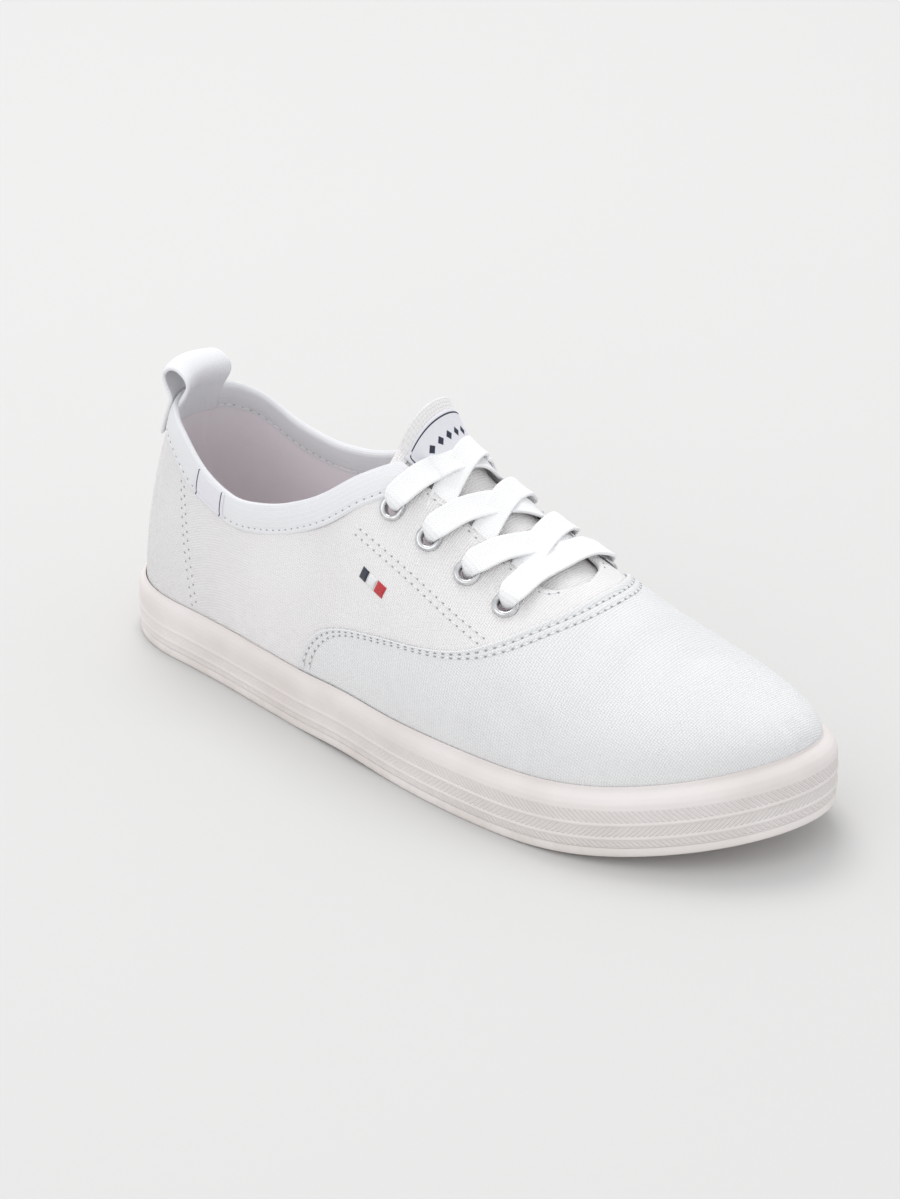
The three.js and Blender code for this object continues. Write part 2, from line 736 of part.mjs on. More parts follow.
// The two runs that cross on their way up to one row of eyelets, joined where they meet
function laceCrossing(row) {
  const runs = [OUTER, INNER].map((side) => {
    const target = seatAt(row, side);
    const source = seatAt(row + 1, -side);
    const start = {
      at: mix(source.at, target.at, LACE_START),
      reach: source.reach * LACE_START_REACH,
    };
    const lift = LACE_SWELL + (side === INNER ? LACE_CROSSING : 0);
    const height = (t) => {
      const at = mix(start.at, target.at, t) - LACE_WIDTH / 2 / SOLE_LENGTH;
      const tongueFace = tongueProud(at, mix(start.reach, target.reach, t));
      const overLabel = tongueFace + LABEL_SEAM + LABEL_THICKNESS + FIT;
      const overEyelet = mix(FIT, laceClear, clamp(3 * t, 0, 1));
      return Math.max(overEyelet, overLabel) + lift * Math.sin(Math.PI * t);
    };
    return laceRun(start, target, height);
  });
  return runs[0].add(runs[1]);
}

// Point near the back of the heel: sideways place, height and distance out of the wall
function heelPoint(sideways, height, proud) {
  const side = sideways < 0 ? OUTER : INNER;
  let low = 0;
  let high = 0.12;
  const climbTo = (at) => {
    let below = 0;
    let above = 0.8;
    for (let i = 0; i < 18; i += 1) {
      const middle = (below + above) / 2;
      if (shellPoint(at, side, middle, proud).z < height) below = middle;
      else above = middle;
    }
    return below;
  };
  for (let i = 0; i < 18; i += 1) {
    const middle = (low + high) / 2;
    const here = shellPoint(middle, side, climbTo(middle), proud);
    if (Math.abs(here.y) < Math.abs(sideways)) low = middle;
    else high = middle;
  }
  const place = shellPoint(low, side, climbTo(low), proud);
  return new THREE.Vector3(place.x, sideways, height);
}

// Tape from the outside of the heel up over the collar and down the inside
function pullLoop() {
  const outside = BINDING_PROUD + LOOP_SEAM;
  const inside = -UPPER_WALL - BINDING_PROUD - LOOP_SEAM - LOOP_THICKNESS;
  const legLow = HEEL_HEIGHT - LOOP_LEG;
  const legTop = HEEL_HEIGHT + 1;
  const rows = [];
  const lines = steps(6).map((s) => (s - 0.5) * LOOP_WIDTH);
  const level = (height, proud) => lines.map((y) => heelPoint(y, height, proud));
  for (const t of steps(3)) {
    const height = mix(legLow, legTop, t);
    rows.push({ upper: level(height, outside + LOOP_THICKNESS), lower: level(height, outside) });
  }
  const outerTop = level(legTop, outside);
  const innerTop = level(legTop, inside + LOOP_THICKNESS);
  for (const t of steps(10).slice(1, -1)) {
    const turn = Math.PI * t;
    const arch = (extra) =>
      lines.map((y, i) => {
        const middle = (outerTop[i].x + innerTop[i].x) / 2;
        const radius = (innerTop[i].x - outerTop[i].x) / 2;
        const spread = mix(radius, LOOP_SPAN / 2, Math.min(1, LOOP_ROUND * Math.sin(turn)));
        const x = middle - Math.cos(turn) * (spread + extra);
        const rise = Math.sin(turn) * (LOOP_RISE - 1 - LOOP_THICKNESS + extra);
        return new THREE.Vector3(x, y, legTop + rise);
      });
    rows.push({ upper: arch(LOOP_THICKNESS), lower: arch(0) });
  }
  for (const t of steps(3)) {
    const height = mix(legTop, legLow + LOOP_LEG_STEP, t);
    rows.push({ upper: level(height, inside), lower: level(height, inside + LOOP_THICKNESS) });
  }
  return plate(rows);
}

// Woven tab folded flat on the outer side of the binding
function sideTab() {
  const rows = steps(6).map((t) => {
    const at = TAB_AT + ((t - 0.5) * TAB_LENGTH) / SOLE_LENGTH;
    const top = collarHeight('outer', at);
    const climbTo = (height) => {
      let climb = 0;
      while (shellPoint(at, OUTER, climb, BINDING_PROUD).z < height && climb < 1) {
        climb += SMALL / 2;
      }
      return climb;
    };
    const line = (proud) =>
      steps(3).map((s) => {
        const height = top - mix(TAB_DROP, BINDING_WIDTH - FIT, s);
        return shellPoint(at, OUTER, climbTo(height), BINDING_PROUD + proud);
      });
    return { upper: line(FIT + TAB_THICKNESS), lower: line(FIT) };
  });
  return plate(rows);
}

const canvas = { color: 0xf1f2f3, roughness: 0.9, metalness: 0 };
const tape = { color: 0xf4f4f6, roughness: 0.85, metalness: 0 };
const rubber = { color: 0xefebe8, roughness: 0.55, metalness: 0 };
const lining = { color: 0xd9d3d6, roughness: 0.95, metalness: 0 };
const metal = { color: 0xc9cacc, roughness: 0.25, metalness: 1 };

const shoe = new THREE.Group();
const place = (name, solid, finish) => {
  const mesh = new THREE.Mesh(toGeometry(solid), new THREE.MeshStandardMaterial(finish));
  mesh.name = name;
  shoe.add(mesh);
};

place('outsole', outsole(), rubber);
place('foxing', foxing(), rubber);
place('insole', insole(), lining);
place('upper', upper(), canvas);
place('collar_binding', collarBinding(), tape);
place('tongue', tongue(), canvas);
place('tongue_label', tongueLabel(), tape);
place('pull_loop', pullLoop(), tape);
place('side_tab', sideTab(), tape);
place('lace_bar', laceBar(), tape);
for (let row = 1; row < EYELET_ROWS; row += 1) {
  place(`lace_crossing_${row}`, laceCrossing(row), tape);
}
for (const seat of seats) {
  place(`eyelet_${seat.side === OUTER ? 'outer' : 'inner'}_${seat.row}`, eyelet(seat), metal);
}
shoe.position.x = -HEEL_SEAT * SOLE_LENGTH;

export default shoe;
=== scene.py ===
"""A low white canvas sneaker for the right foot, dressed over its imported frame.

Every piece is laid over the same last as the frame. A point on the outer face of the upper is
found from its place along the sole (0 at the back of the heel, 1 at the toe), its side, and its
climb from the foxing (0) to the crest of the instep (1). Sizes in the classes are in millimetres
and are turned into metres when a mesh is made.
"""

import logging
import math
from dataclasses import dataclass
from enum import Enum
from functools import lru_cache
from typing import Callable, Sequence

import bmesh
import bpy
from mathutils import Matrix, Vector


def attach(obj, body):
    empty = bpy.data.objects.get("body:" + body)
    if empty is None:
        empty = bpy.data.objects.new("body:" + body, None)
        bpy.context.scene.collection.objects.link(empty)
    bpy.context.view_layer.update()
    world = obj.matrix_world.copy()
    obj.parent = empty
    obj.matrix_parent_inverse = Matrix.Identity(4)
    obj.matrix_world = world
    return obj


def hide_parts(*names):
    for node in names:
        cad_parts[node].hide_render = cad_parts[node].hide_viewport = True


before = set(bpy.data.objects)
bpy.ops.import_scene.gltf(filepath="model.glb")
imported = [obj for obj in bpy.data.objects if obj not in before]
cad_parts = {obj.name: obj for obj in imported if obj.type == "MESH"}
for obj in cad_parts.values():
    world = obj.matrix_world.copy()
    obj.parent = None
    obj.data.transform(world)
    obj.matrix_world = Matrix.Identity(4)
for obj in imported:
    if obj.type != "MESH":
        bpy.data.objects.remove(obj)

log = logging.getLogger("sneaker")

MM = 0.001
# From the back of the heel to the frame's origin, in millimetres.
HEEL_SHIFT = 44.8
# From the foxing over the instep to the crest, for the creases, in millimetres.
HALF_GIRTH = 78
# Distances of the two rows of stitches from the vamp's folded edge, in millimetres.
VAMP_ROWS = (3.0, 6.0)

Place = Callable[[float, float], Vector]
Cloth = Callable[[float, float], tuple[float, float]]


class Side(Enum):
    """Side of the foot, with the sign of its Y."""

    OUTER = -1
    INNER = 1


def mix(a: float, b: float, share: float) -> float:
    """Value between a and b at a share of the way."""
    return a + (b - a) * share


def clamp(value: float, low: float = 0.0, high: float = 1.0) -> float:
    """Value kept between two limits."""
    return min(high, max(low, value))


def ease(value: float) -> float:
    """Smooth step from 0 to 1."""
    t = clamp(value)
    return t * t * (3 - 2 * t)


def steps(count: int) -> list[float]:
    """Even shares from 0 to 1."""
    return [i / count for i in range(count + 1)]


def placed(spot: Vector) -> Vector:
    """Point of the last moved to the frame's origin, in metres."""
    return Vector(((spot.x - HEEL_SHIFT) * MM, spot.y * MM, spot.z * MM))


class Curve:
    """A smooth row of values over rising places."""

    def __init__(self, *points: tuple[float, float]) -> None:
        """Keeps the points.

        Args:
            points: pairs of a place and its value.
        """
        self.places = [p[0] for p in points]
        self.values = [p[1] for p in points]

    def slope(self, k: int) -> float:
        """Slope of the curve at one of its points."""
        a, b = max(0, k - 1), min(len(self.places) - 1, k + 1)
        return (self.values[b] - self.values[a]) / (self.places[b] - self.places[a])

    def at(self, place: float) -> float:
        """Value at a place.

        Args:
            place: where to read, kept inside the first and last place.

        Returns:
            The value on a cubic through the points.
        """
        place = clamp(place, self.places[0], self.places[-1])
        i = 0
        while i < len(self.places) - 2 and place > self.places[i + 1]:
            i += 1
        span = self.places[i + 1] - self.places[i]
        t = (place - self.places[i]) / span
        tangents = t * (1 - t) ** 2 * self.slope(i) + t * t * (t - 1) * self.slope(i + 1)
        return mix(self.values[i], self.values[i + 1], ease(t)) + span * tangents


@dataclass(eq=False)
class Last:
    """The foot form that every piece is laid over."""

    length: float = 280
    ball: float = 96
    instep: float = 97
    heel: float = 85
    foxing: float = 23.5
    bumper: float = 5
    spring: float = 12.5
    arch: float = 1
    bed_heel: float = 9
    bed_toe: float = 5.5
    wall: float = 1.7
    fit: float = 0.3
    lip: float = 0.7
    throat_gap: float = 29
    throat_flare: float = 8
    throat_shift: float = 1
    throat_front: float = 0.672
    eyelet_margin: float = 13
    eyelet_back: float = 0.463
    eyelet_front: float = 0.631
    collar_front: float = 0.465
    collar_dip: float = 0.21
    collar_rise: float = 0.2

    def __post_init__(self) -> None:
        """Makes the rows that shape the form."""
        sole = (0.0, 0.1, 0.2, 0.3, 0.4, 0.5, 0.6, 0.7, 0.8, 0.9, 1.0)
        middle = (0.012, 0.012, 0, -0.028, -0.05, -0.05, -0.02, 0.005, 0.032, 0.07, 0.115)
        half = (0.328, 0.326, 0.338, 0.35, 0.37, 0.408, 0.47, 0.5, 0.5, 0.475, 0.45)
        band = (0.87, 0.87, 0.87, 0.87, 0.88, 0.9, 0.93, 0.945, 0.96, 0.98, 1)
        ledge = (0.4, 0.4, 0.4, 0.4, 0.4, 0.44, 0.6, 0.76, 0.88, 0.96, 1)
        self.middle = Curve(*zip(sole, middle))
        self.half = Curve(*zip(sole, half))
        self.band = Curve(*zip(sole, band))
        self.ledge = Curve(*zip(sole, ledge))
        form = (0.1, 0.2, 0.3, 0.4, 0.5, 0.6, 0.7, 0.8, 0.87)
        height = (1.25, 1.26, 1.22, 1.135, 0.975, 0.79, 0.67, 0.577, 0.515)
        side = (0, 0, 0.005, 0.02, 0.045, 0.065, 0.065, 0.068, 0.078)
        rise = (0.38, 0.42, 0.48, 0.52, 0.52, 0.52, 0.5, 0.5, 0.55)
        crown = (0.5, 0.48, 0.45, 0.5, 0.64, 0.7, 0.66, 0.6, 0.6)
        self.crest_rise = Curve(*zip(form, height))
        self.crest_side = Curve(*zip(form, side))
        self.rise = Curve(*zip(form, rise))
        self.crown = Curve(*zip(form, crown))
        collar = (-0.1, 0.03, 0.07, 0.11, 0.16, 0.21, 0.26, 0.31, 0.36, 0.41, 0.44, 0.465)
        outer = (0.98, 1, 1, 0.945, 0.825, 0.775, 0.7827, 0.8033, 0.8489, 0.942, 0.99, 1.015)
        inner = (0.98, 1, 1, 0.96, 0.89, 0.86, 0.8463, 0.8407, 0.8668, 0.9464, 0.99, 1.015)
        self.collar = {Side.OUTER: Curve(*zip(collar, outer)), Side.INNER: Curve(*zip(collar, inner))}

    def closure(self, at: float) -> float:
        """Share of the half width left near the toe and the heel."""
        toe = clamp((at - 0.72) / 0.28)
        heel = clamp((0.13 - at) / 0.13)
        return math.sqrt((1 - toe**2.3) * (1 - heel**2.2))

    def crest_place(self, at: float) -> float:
        """Place on the crest line that belongs to a place along the sole."""
        if at > 0.7:
            t = clamp((at - 0.7) / 0.3)
            return 0.7 + 0.16 * (1 - (1 - t) ** (0.3 / 0.16))
        if at < 0.27:
            t = clamp((0.27 - at) / 0.27)
            return 0.27 - 0.11 * (1 - (1 - t) ** (0.27 / 0.11))
        return at

    def crest_height(self, place: float) -> float:
        """Height of the crest line."""
        return self.crest_rise.at(place) * self.instep

    def foxing_height(self, at: float) -> float:
        """Height of the rubber band above the bottom."""
        return self.band.at(at) * self.foxing

    def ledge_depth(self, at: float) -> float:
        """Depth of the rounded top of the rubber band."""
        return self.ledge.at(at) * self.bumper

    def shell_inset(self, at: float) -> float:
        """Distance of the upper's face from the sole edge."""
        return self.ledge_depth(at) + self.lip + self.fit

    def bed_inset(self, at: float) -> float:
        """Distance of the insole from the sole edge."""
        return self.shell_inset(at) + self.wall + self.fit

    def bottom(self, at: float) -> float:
        """Height of the underside."""
        spring = clamp((at - 0.68) / 0.32)
        arch = clamp((at - 0.34) / 0.2)
        return self.spring * spring**2 + self.arch * math.sin(math.pi * arch) ** 2

    def bed(self, at: float) -> float:
        """Height of the bed under the insole."""
        return self.bottom(at) + mix(self.bed_heel, self.bed_toe, ease((at - 0.2) / 0.4))

    @lru_cache(maxsize=None)
    def station(self, at: float, side: Side) -> tuple[float, ...]:
        """Plan of one station.

        Args:
            at: place along the sole.
            side: side of the foot.

        Returns:
            The sole's edge, the reach and unit step to the crest, the crest with its height, and
            the slope of the crest line.
        """
        place = self.crest_place(at)
        x = at * self.length
        y = (self.middle.at(at) + side.value * self.half.at(at) * self.closure(at)) * self.ball
        crest_x = place * self.length
        crest_y = self.crest_side.at(place) * self.ball
        reach = math.hypot(crest_x - x, crest_y - y)
        step_x, step_y = (crest_x - x) / reach, (crest_y - y) / reach
        rise = self.crest_height(place + 0.01) - self.crest_height(place - 0.01)
        slope = rise / (0.02 * self.length)
        return x, y, reach, step_x, step_y, crest_x, crest_y, self.crest_height(place), slope

    def edge(self, at: float, side: Side, inset: float, height: float) -> Vector:
        """Point in from the sole edge at a height."""
        x, y, _, step_x, step_y, *_ = self.station(at, side)
        return Vector((x + step_x * inset, y + step_y * inset, height))

    def shell(self, at: float, side: Side, climb: float, proud: float = 0.0) -> Vector:
        """Point on the upper.

        Args:
            at: place along the sole.
            side: side of the foot.
            climb: share of the way from the foxing to the crest.
            proud: distance out of the upper's face.

        Returns:
            The point in millimetres from the back of the heel.
        """
        x, y, reach, step_x, step_y, crest_x, crest_y, height, slope = self.station(at, side)
        inset = self.shell_inset(at) - proud
        foot = Vector((x + step_x * inset, y + step_y * inset, 0))
        foot.z = self.bottom(at) + self.foxing_height(at) - 1
        lean = proud / math.hypot(1, slope)
        crest = Vector((crest_x - lean * slope, crest_y, height + lean))
        wall = foot + Vector((0, 0, self.rise.at(at) * (crest.z - foot.z)))
        flat = self.crown.at(at) * (reach - inset)
        crown = crest - Vector((step_x, step_y, step_x * slope)) * flat
        t = clamp(climb)
        s = 1 - t
        return s**3 * foot + 3 * s * s * t * wall + 3 * s * t * t * crown + t**3 * crest

    def cross(self, at: float, reach: float, proud: float = 0.0) -> Vector:
        """Point across the instep: reach is -1 at the outer foxing, 0 on the crest, 1 inside."""
        side = Side.OUTER if reach < 0 else Side.INNER
        return self.shell(at, side, 1 - abs(reach), proud)

    @lru_cache(maxsize=None)
    def normal(self, at: float, reach: float) -> Vector:
        """Direction out of the upper."""
        along = self.cross(at + 0.01, reach) - self.cross(at - 0.01, reach)
        over = self.cross(at, reach + 0.01) - self.cross(at, reach - 0.01)
        return along.cross(over).normalized()

    @lru_cache(maxsize=None)
    def reach(self, at: float, side: Side, distance: float) -> float:
        """Reach of the point that lies a distance over the instep from the crest line.

        Args:
            at: place along the sole.
            side: side of the foot.
            distance: length over the cloth, below zero on the other side.

        Returns:
            The reach, from -1 at the outer foxing to 1 at the inner one.
        """
        step = 0.01 * side.value * math.copysign(1, distance)
        reach, gone = 0.0, 0.0
        here = self.cross(at, 0)
        while gone < abs(distance) and abs(reach) < 1:
            reach += step
            ahead = self.cross(at, reach)
            stride = (ahead - here).length
            if gone + stride > abs(distance):
                return reach - step * (gone + stride - abs(distance)) / stride
            gone += stride
            here = ahead
        return reach

    def throat_half(self, at: float, side: Side) -> float:
        """Distance of the throat's edge from the crest line."""
        front = clamp((at - 0.64) / (self.throat_front - 0.64))
        opened = clamp((0.64 - at) / 0.27)
        half = (self.throat_gap + self.throat_flare * opened) / 2
        return half * math.sqrt(1 - front**2.2) - side.value * self.throat_shift

    def throat_edge(self, at: float, side: Side) -> float:
        """Reach of the throat's edge."""
        return self.reach(at, side, self.throat_half(at, side))

    @lru_cache(maxsize=None)
    def collar_row(self, side: Side, drop: float) -> tuple[tuple[float, float], ...]:
        """Collar line seen from the side, lowered square to itself.

        Args:
            side: side of the foot.
            drop: distance below the collar's edge.

        Returns:
            Pairs of a length from the back of the heel and a height.
        """
        curve = self.collar[side]

        def point(at: float) -> Vector:
            """Point of the line in side view."""
            height = mix(self.heel, self.instep, ease((at - self.collar_dip) / self.collar_rise))
            return Vector((at * self.length, curve.at(at) * height))

        row = []
        for t in steps(120):
            at = mix(-0.1, self.collar_front, t)
            run = (point(at + 0.002) - point(at - 0.002)).normalized()
            here = point(at)
            row.append((here.x + run.y * drop, here.y - run.x * drop))
        return tuple(row)

    def collar_height(self, spot: Vector, drop: float) -> float:
        """Height of the collar line over a spot in plan.

        Args:
            spot: the place in plan.
            drop: distance below the collar's edge.

        Returns:
            The height, far above the shoe ahead of the collar.
        """
        heights = []
        for side in Side:
            row = self.collar_row(side, drop)
            if spot.x >= row[-1][0]:
                return 400.0
            k = next(i for i, p in enumerate(row) if p[0] > spot.x)
            (x0, z0), (x1, z1) = row[max(0, k - 1)], row[k]
            heights.append(mix(z0, z1, (spot.x - x0) / (x1 - x0) if x1 > x0 else 0))
        return mix(heights[0], heights[1], (spot.y + 40) / 80)

    @lru_cache(maxsize=None)
    def collar_climb(self, at: float, side: Side, drop: float) -> float:
        """Climb at which a station meets the collar line.

        Args:
            at: place along the sole.
            side: side of the foot.
            drop: distance below the collar's edge.

        Returns:
            The climb, 1 where the station runs under the instep.
        """
        low, high = 0.0, 1.0
        for _ in range(16):
            middle = (low + high) / 2
            here = self.shell(at, side, middle)
            if here.z > self.collar_height(here, drop):
                high = middle
            else:
                low = middle
        return low if low < 0.9999 else 1.0

    @lru_cache(maxsize=None)
    def limit(self, at: float, side: Side, drop: float = 0.0) -> float:
        """Climb at which the upper ends, at the collar, the throat or the crest."""
        throat = 1 - abs(self.throat_edge(at, side)) if at < self.throat_front else 1.0
        return min(throat, self.collar_climb(at, side, drop))

    def cloth(self, at: float, side: Side, climb: float) -> tuple[float, float]:
        """Place of a point in the flat cloth, in millimetres."""
        here = self.shell(at, side, climb)
        _, _, _, step_x, step_y, _, _, height, _ = self.station(at, side)
        drop = 0.85 * (height - here.z)
        return here.x - step_x * drop, here.y - step_y * drop


LAST = Last()


@dataclass(frozen=True)
class Crease:
    """A soft trough or ridge drawn between two places of the upper."""

    start: tuple[float, float]
    end: tuple[float, float]
    width: float
    depth: float

    def at(self, place: float, reach: float) -> float:
        """Height that the crease adds at a place.

        Args:
            place: place along the sole.
            reach: reach over the instep.

        Returns:
            Millimetres out of the face, below zero in a trough.
        """
        spot = Vector((place * LAST.length, reach * HALF_GIRTH))
        a = Vector((self.start[0] * LAST.length, self.start[1] * HALF_GIRTH))
        b = Vector((self.end[0] * LAST.length, self.end[1] * HALF_GIRTH))
        run = b - a
        t = clamp((spot - a).dot(run) / run.length_squared)
        off = (spot - a - run * t).length
        return self.depth * math.exp(-((off / self.width) ** 2)) * (0.4 + 0.6 * math.sin(math.pi * t))


CREASES = (
    Crease((0.745, -0.5), (0.715, 0.12), 5, -0.45),
    Crease((0.77, -0.42), (0.76, 0.3), 7, 0.35),
    Crease((0.8, -0.55), (0.79, 0.1), 6, -0.3),
    Crease((0.72, 0.2), (0.76, 0.62), 6, -0.5),
    Crease((0.66, -0.66), (0.74, -0.78), 7, -0.5),
    Crease((0.6, -0.72), (0.68, -0.9), 8, 0.4),
    Crease((0.86, -0.35), (0.88, 0.4), 8, -0.3),
    Crease((0.18, -0.9), (0.3, -0.72), 9, -0.6),
    Crease((0.24, -0.62), (0.36, -0.86), 8, 0.5),
    Crease((0.36, -0.55), (0.45, -0.8), 8, -0.55),
    Crease((0.44, -0.5), (0.5, -0.68), 6, 0.3),
    Crease((0.2, 0.66), (0.33, 0.85), 9, -0.6),
    Crease((0.35, 0.55), (0.46, 0.82), 8, -0.5),
    Crease((0.5, 0.6), (0.6, 0.85), 9, 0.45),
    Crease((0.04, -0.8), (0.12, -0.6), 8, -0.4),
    Crease((0.05, 0.85), (0.13, 0.62), 8, -0.4),
)


def creased(at: float, reach: float) -> float:
    """Height that all creases add at a place of the upper."""
    return sum(crease.at(at, reach) for crease in CREASES)


def add_piece(
    name: str, mesh: bmesh.types.BMesh, materials: Sequence[bpy.types.Material]
) -> bpy.types.Object:
    """Turns a finished mesh into an object of the scene.

    Args:
        name: name of the piece.
        mesh: its mesh, which is freed.
        materials: its materials in order.

    Returns:
        The new object, at the origin.
    """
    data = bpy.data.meshes.new(name)
    mesh.to_mesh(data)
    mesh.free()
    for material in materials:
        data.materials.append(material)
    piece = bpy.data.objects.new(name, data)
    bpy.context.scene.collection.objects.link(piece)
    return piece


class Sheet:
    """A mesh that starts as flat grids, each laid over the last."""

    def __init__(self, name: str) -> None:
        """Starts an empty mesh.

        Args:
            name: name of the piece.
        """
        self.name = name
        self.mesh = bmesh.new()
        self.cloth = self.mesh.loops.layers.uv.new("cloth")

    def lay(self, columns: int, rows: int, place: Place, cloth: Cloth, flip: bool = False) -> None:
        """Adds one grid and lays it in place.

        Args:
            columns: faces along the grid.
            rows: faces across it.
            place: point in millimetres for a share along and across.
            cloth: place in the flat cloth for the same shares.
            flip: turns the faces over.
        """
        made = bmesh.ops.create_grid(self.mesh, x_segments=columns, y_segments=rows, size=0.5)
        corners = made["verts"]
        shares = {v: (clamp(v.co.x + 0.5), clamp(v.co.y + 0.5)) for v in corners}
        faces = {face for v in corners for face in v.link_faces}
        for face in faces:
            face.smooth = True
            for loop in face.loops:
                loop[self.cloth].uv = cloth(*shares[loop.vert])
        for v in corners:
            v.co = placed(place(*shares[v]))
        if flip:
            bmesh.ops.reverse_faces(self.mesh, faces=list(faces))

    def weld(self, distance: float = 0.02) -> None:
        """Joins points that lie together."""
        bmesh.ops.remove_doubles(self.mesh, verts=self.mesh.verts[:], dist=distance * MM)
        bmesh.ops.dissolve_degenerate(self.mesh, edges=self.mesh.edges[:], dist=0.001 * MM)

    def finish(self, materials: Sequence[bpy.types.Material]) -> bpy.types.Object:
        """Makes the object from the mesh and its materials."""
        return add_piece(self.name, self.mesh, materials)


def thicken(piece: bpy.types.Object, thickness: float, inner: int = 0) -> None:
    """Gives a sheet its wall behind its face.

    Args:
        piece: the sheet.
        thickness: wall in millimetres.
        inner: how far the inner side's material lies after the outer side's.
    """
    wall = piece.modifiers.new("wall", "SOLIDIFY")
    wall.thickness = thickness * MM
    wall.offset = -1
    wall.material_offset = inner
    wall.use_even_offset = False


def soften(piece: bpy.types.Object) -> None:
    """Rounds a piece with one level of a subdivision surface."""
    smooth = piece.modifiers.new("round", "SUBSURF")
    smooth.levels = 1
    smooth.render_levels = 1


def settle(piece: bpy.types.Object, slot: str, *nodes: str) -> None:
    """Rides a piece on the shoe and hides the frame nodes that it replaces.

    Args:
        piece: the finished piece.
        slot: material slot of the record, not used.
        nodes: frame nodes that it replaces.
    """
    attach(piece, "root")
    if nodes:
        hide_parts(*nodes)
    log.info("%s: %d faces", piece.name, len(piece.data.polygons))


class Graph:
    """Short way to build a node tree."""

    def __init__(self, tree: bpy.types.NodeTree) -> None:
        """Keeps the tree."""
        self.tree = tree

    def node(self, kind: str, **settings: object) -> bpy.types.Node:
        """Adds a node.

        Args:
            kind: type of the node without its prefix.
            settings: its properties by name.

        Returns:
            The new node.
        """
        made = self.tree.nodes.new("ShaderNode" + kind)
        for key, value in settings.items():
            setattr(made, key, value)
        return made

    def feed(self, target: bpy.types.NodeSocket, value: object) -> None:
        """Links a socket or sets a plain value."""
        if isinstance(value, bpy.types.NodeSocket):
            self.tree.links.new(value, target)
        else:
            target.default_value = value

    def fill(self, node: bpy.types.Node, values: dict[str, object]) -> None:
        """Feeds several inputs of a node by name."""
        for name, value in values.items():
            self.feed(node.inputs[name], value)

    def math(self, operation: str, *values: object) -> bpy.types.NodeSocket:
        """Adds a math node and returns its output."""
        made = self.node("Math", operation=operation)
        for i, value in enumerate(values):
            self.feed(made.inputs[i], value)
        return made.outputs[0]

    def span(
        self, value: object, low: object, high: object, start: float = 0.0, end: float = 1.0
    ) -> bpy.types.NodeSocket:
        """Smooth change from start to end while a value goes from low to high."""
        made = self.node("MapRange", interpolation_type="SMOOTHSTEP")
        limits = {"From Min": low, "From Max": high, "To Min": start, "To Max": end}
        self.fill(made, {"Value": value, **limits})
        return made.outputs["Result"]

    def blend(self, share: object, a: object, b: object) -> bpy.types.NodeSocket:
        """Mixes two colours."""
        made = self.node("Mix", data_type="RGBA")
        self.feed(made.inputs["Factor"], share)
        colours = [socket for socket in made.inputs if socket.type == "RGBA"]
        self.feed(colours[0], a)
        self.feed(colours[1], b)
        return next(socket for socket in made.outputs if socket.type == "RGBA")

    def noise(self, vector: object, scale: float, detail: float = 3.0) -> bpy.types.NodeSocket:
        """Cloudy noise on a vector."""
        made = self.node("TexNoise")
        self.fill(made, {"Vector": vector, "Scale": scale, "Detail": detail})
        return made.outputs["Fac"]

    def split(self, vector: object) -> tuple[bpy.types.NodeSocket, ...]:
        """X, Y and Z of a vector."""
        made = self.node("SeparateXYZ")
        self.feed(made.inputs[0], vector)
        return tuple(made.outputs)

    def emboss(self, shader: bpy.types.Node, height: object, strength: float, depth: float) -> None:
        """Presses a pattern into the face of a material.

        Args:
            shader: its shader node.
            height: the pattern's height.
            strength: strength of the effect.
            depth: depth in millimetres for a height of one.
        """
        bump = self.node("Bump")
        self.fill(bump, {"Strength": strength, "Distance": depth * MM, "Height": height})
        self.feed(shader.inputs["Normal"], bump.outputs["Normal"])


def group(
    name: str,
    inputs: Sequence[tuple[str, str, object]],
    outputs: Sequence[tuple[str, str]],
) -> tuple[bpy.types.NodeTree, Graph, bpy.types.Node, bpy.types.Node]:
    """Starts a shader node group with named sockets.

    Args:
        name: name of the group.
        inputs: name, socket type and default of each input.
        outputs: name and socket type of each output.

    Returns:
        The tree, its graph, and its input and output nodes.
    """
    tree = bpy.data.node_groups.new(name, "ShaderNodeTree")
    for label, kind, default in inputs:
        socket = tree.interface.new_socket(name=label, in_out="INPUT", socket_type=kind)
        if default is not None:
            socket.default_value = default
    for label, kind in outputs:
        tree.interface.new_socket(name=label, in_out="OUTPUT", socket_type=kind)
    graph = Graph(tree)
    return tree, graph, tree.nodes.new("NodeGroupInput"), tree.nodes.new("NodeGroupOutput")


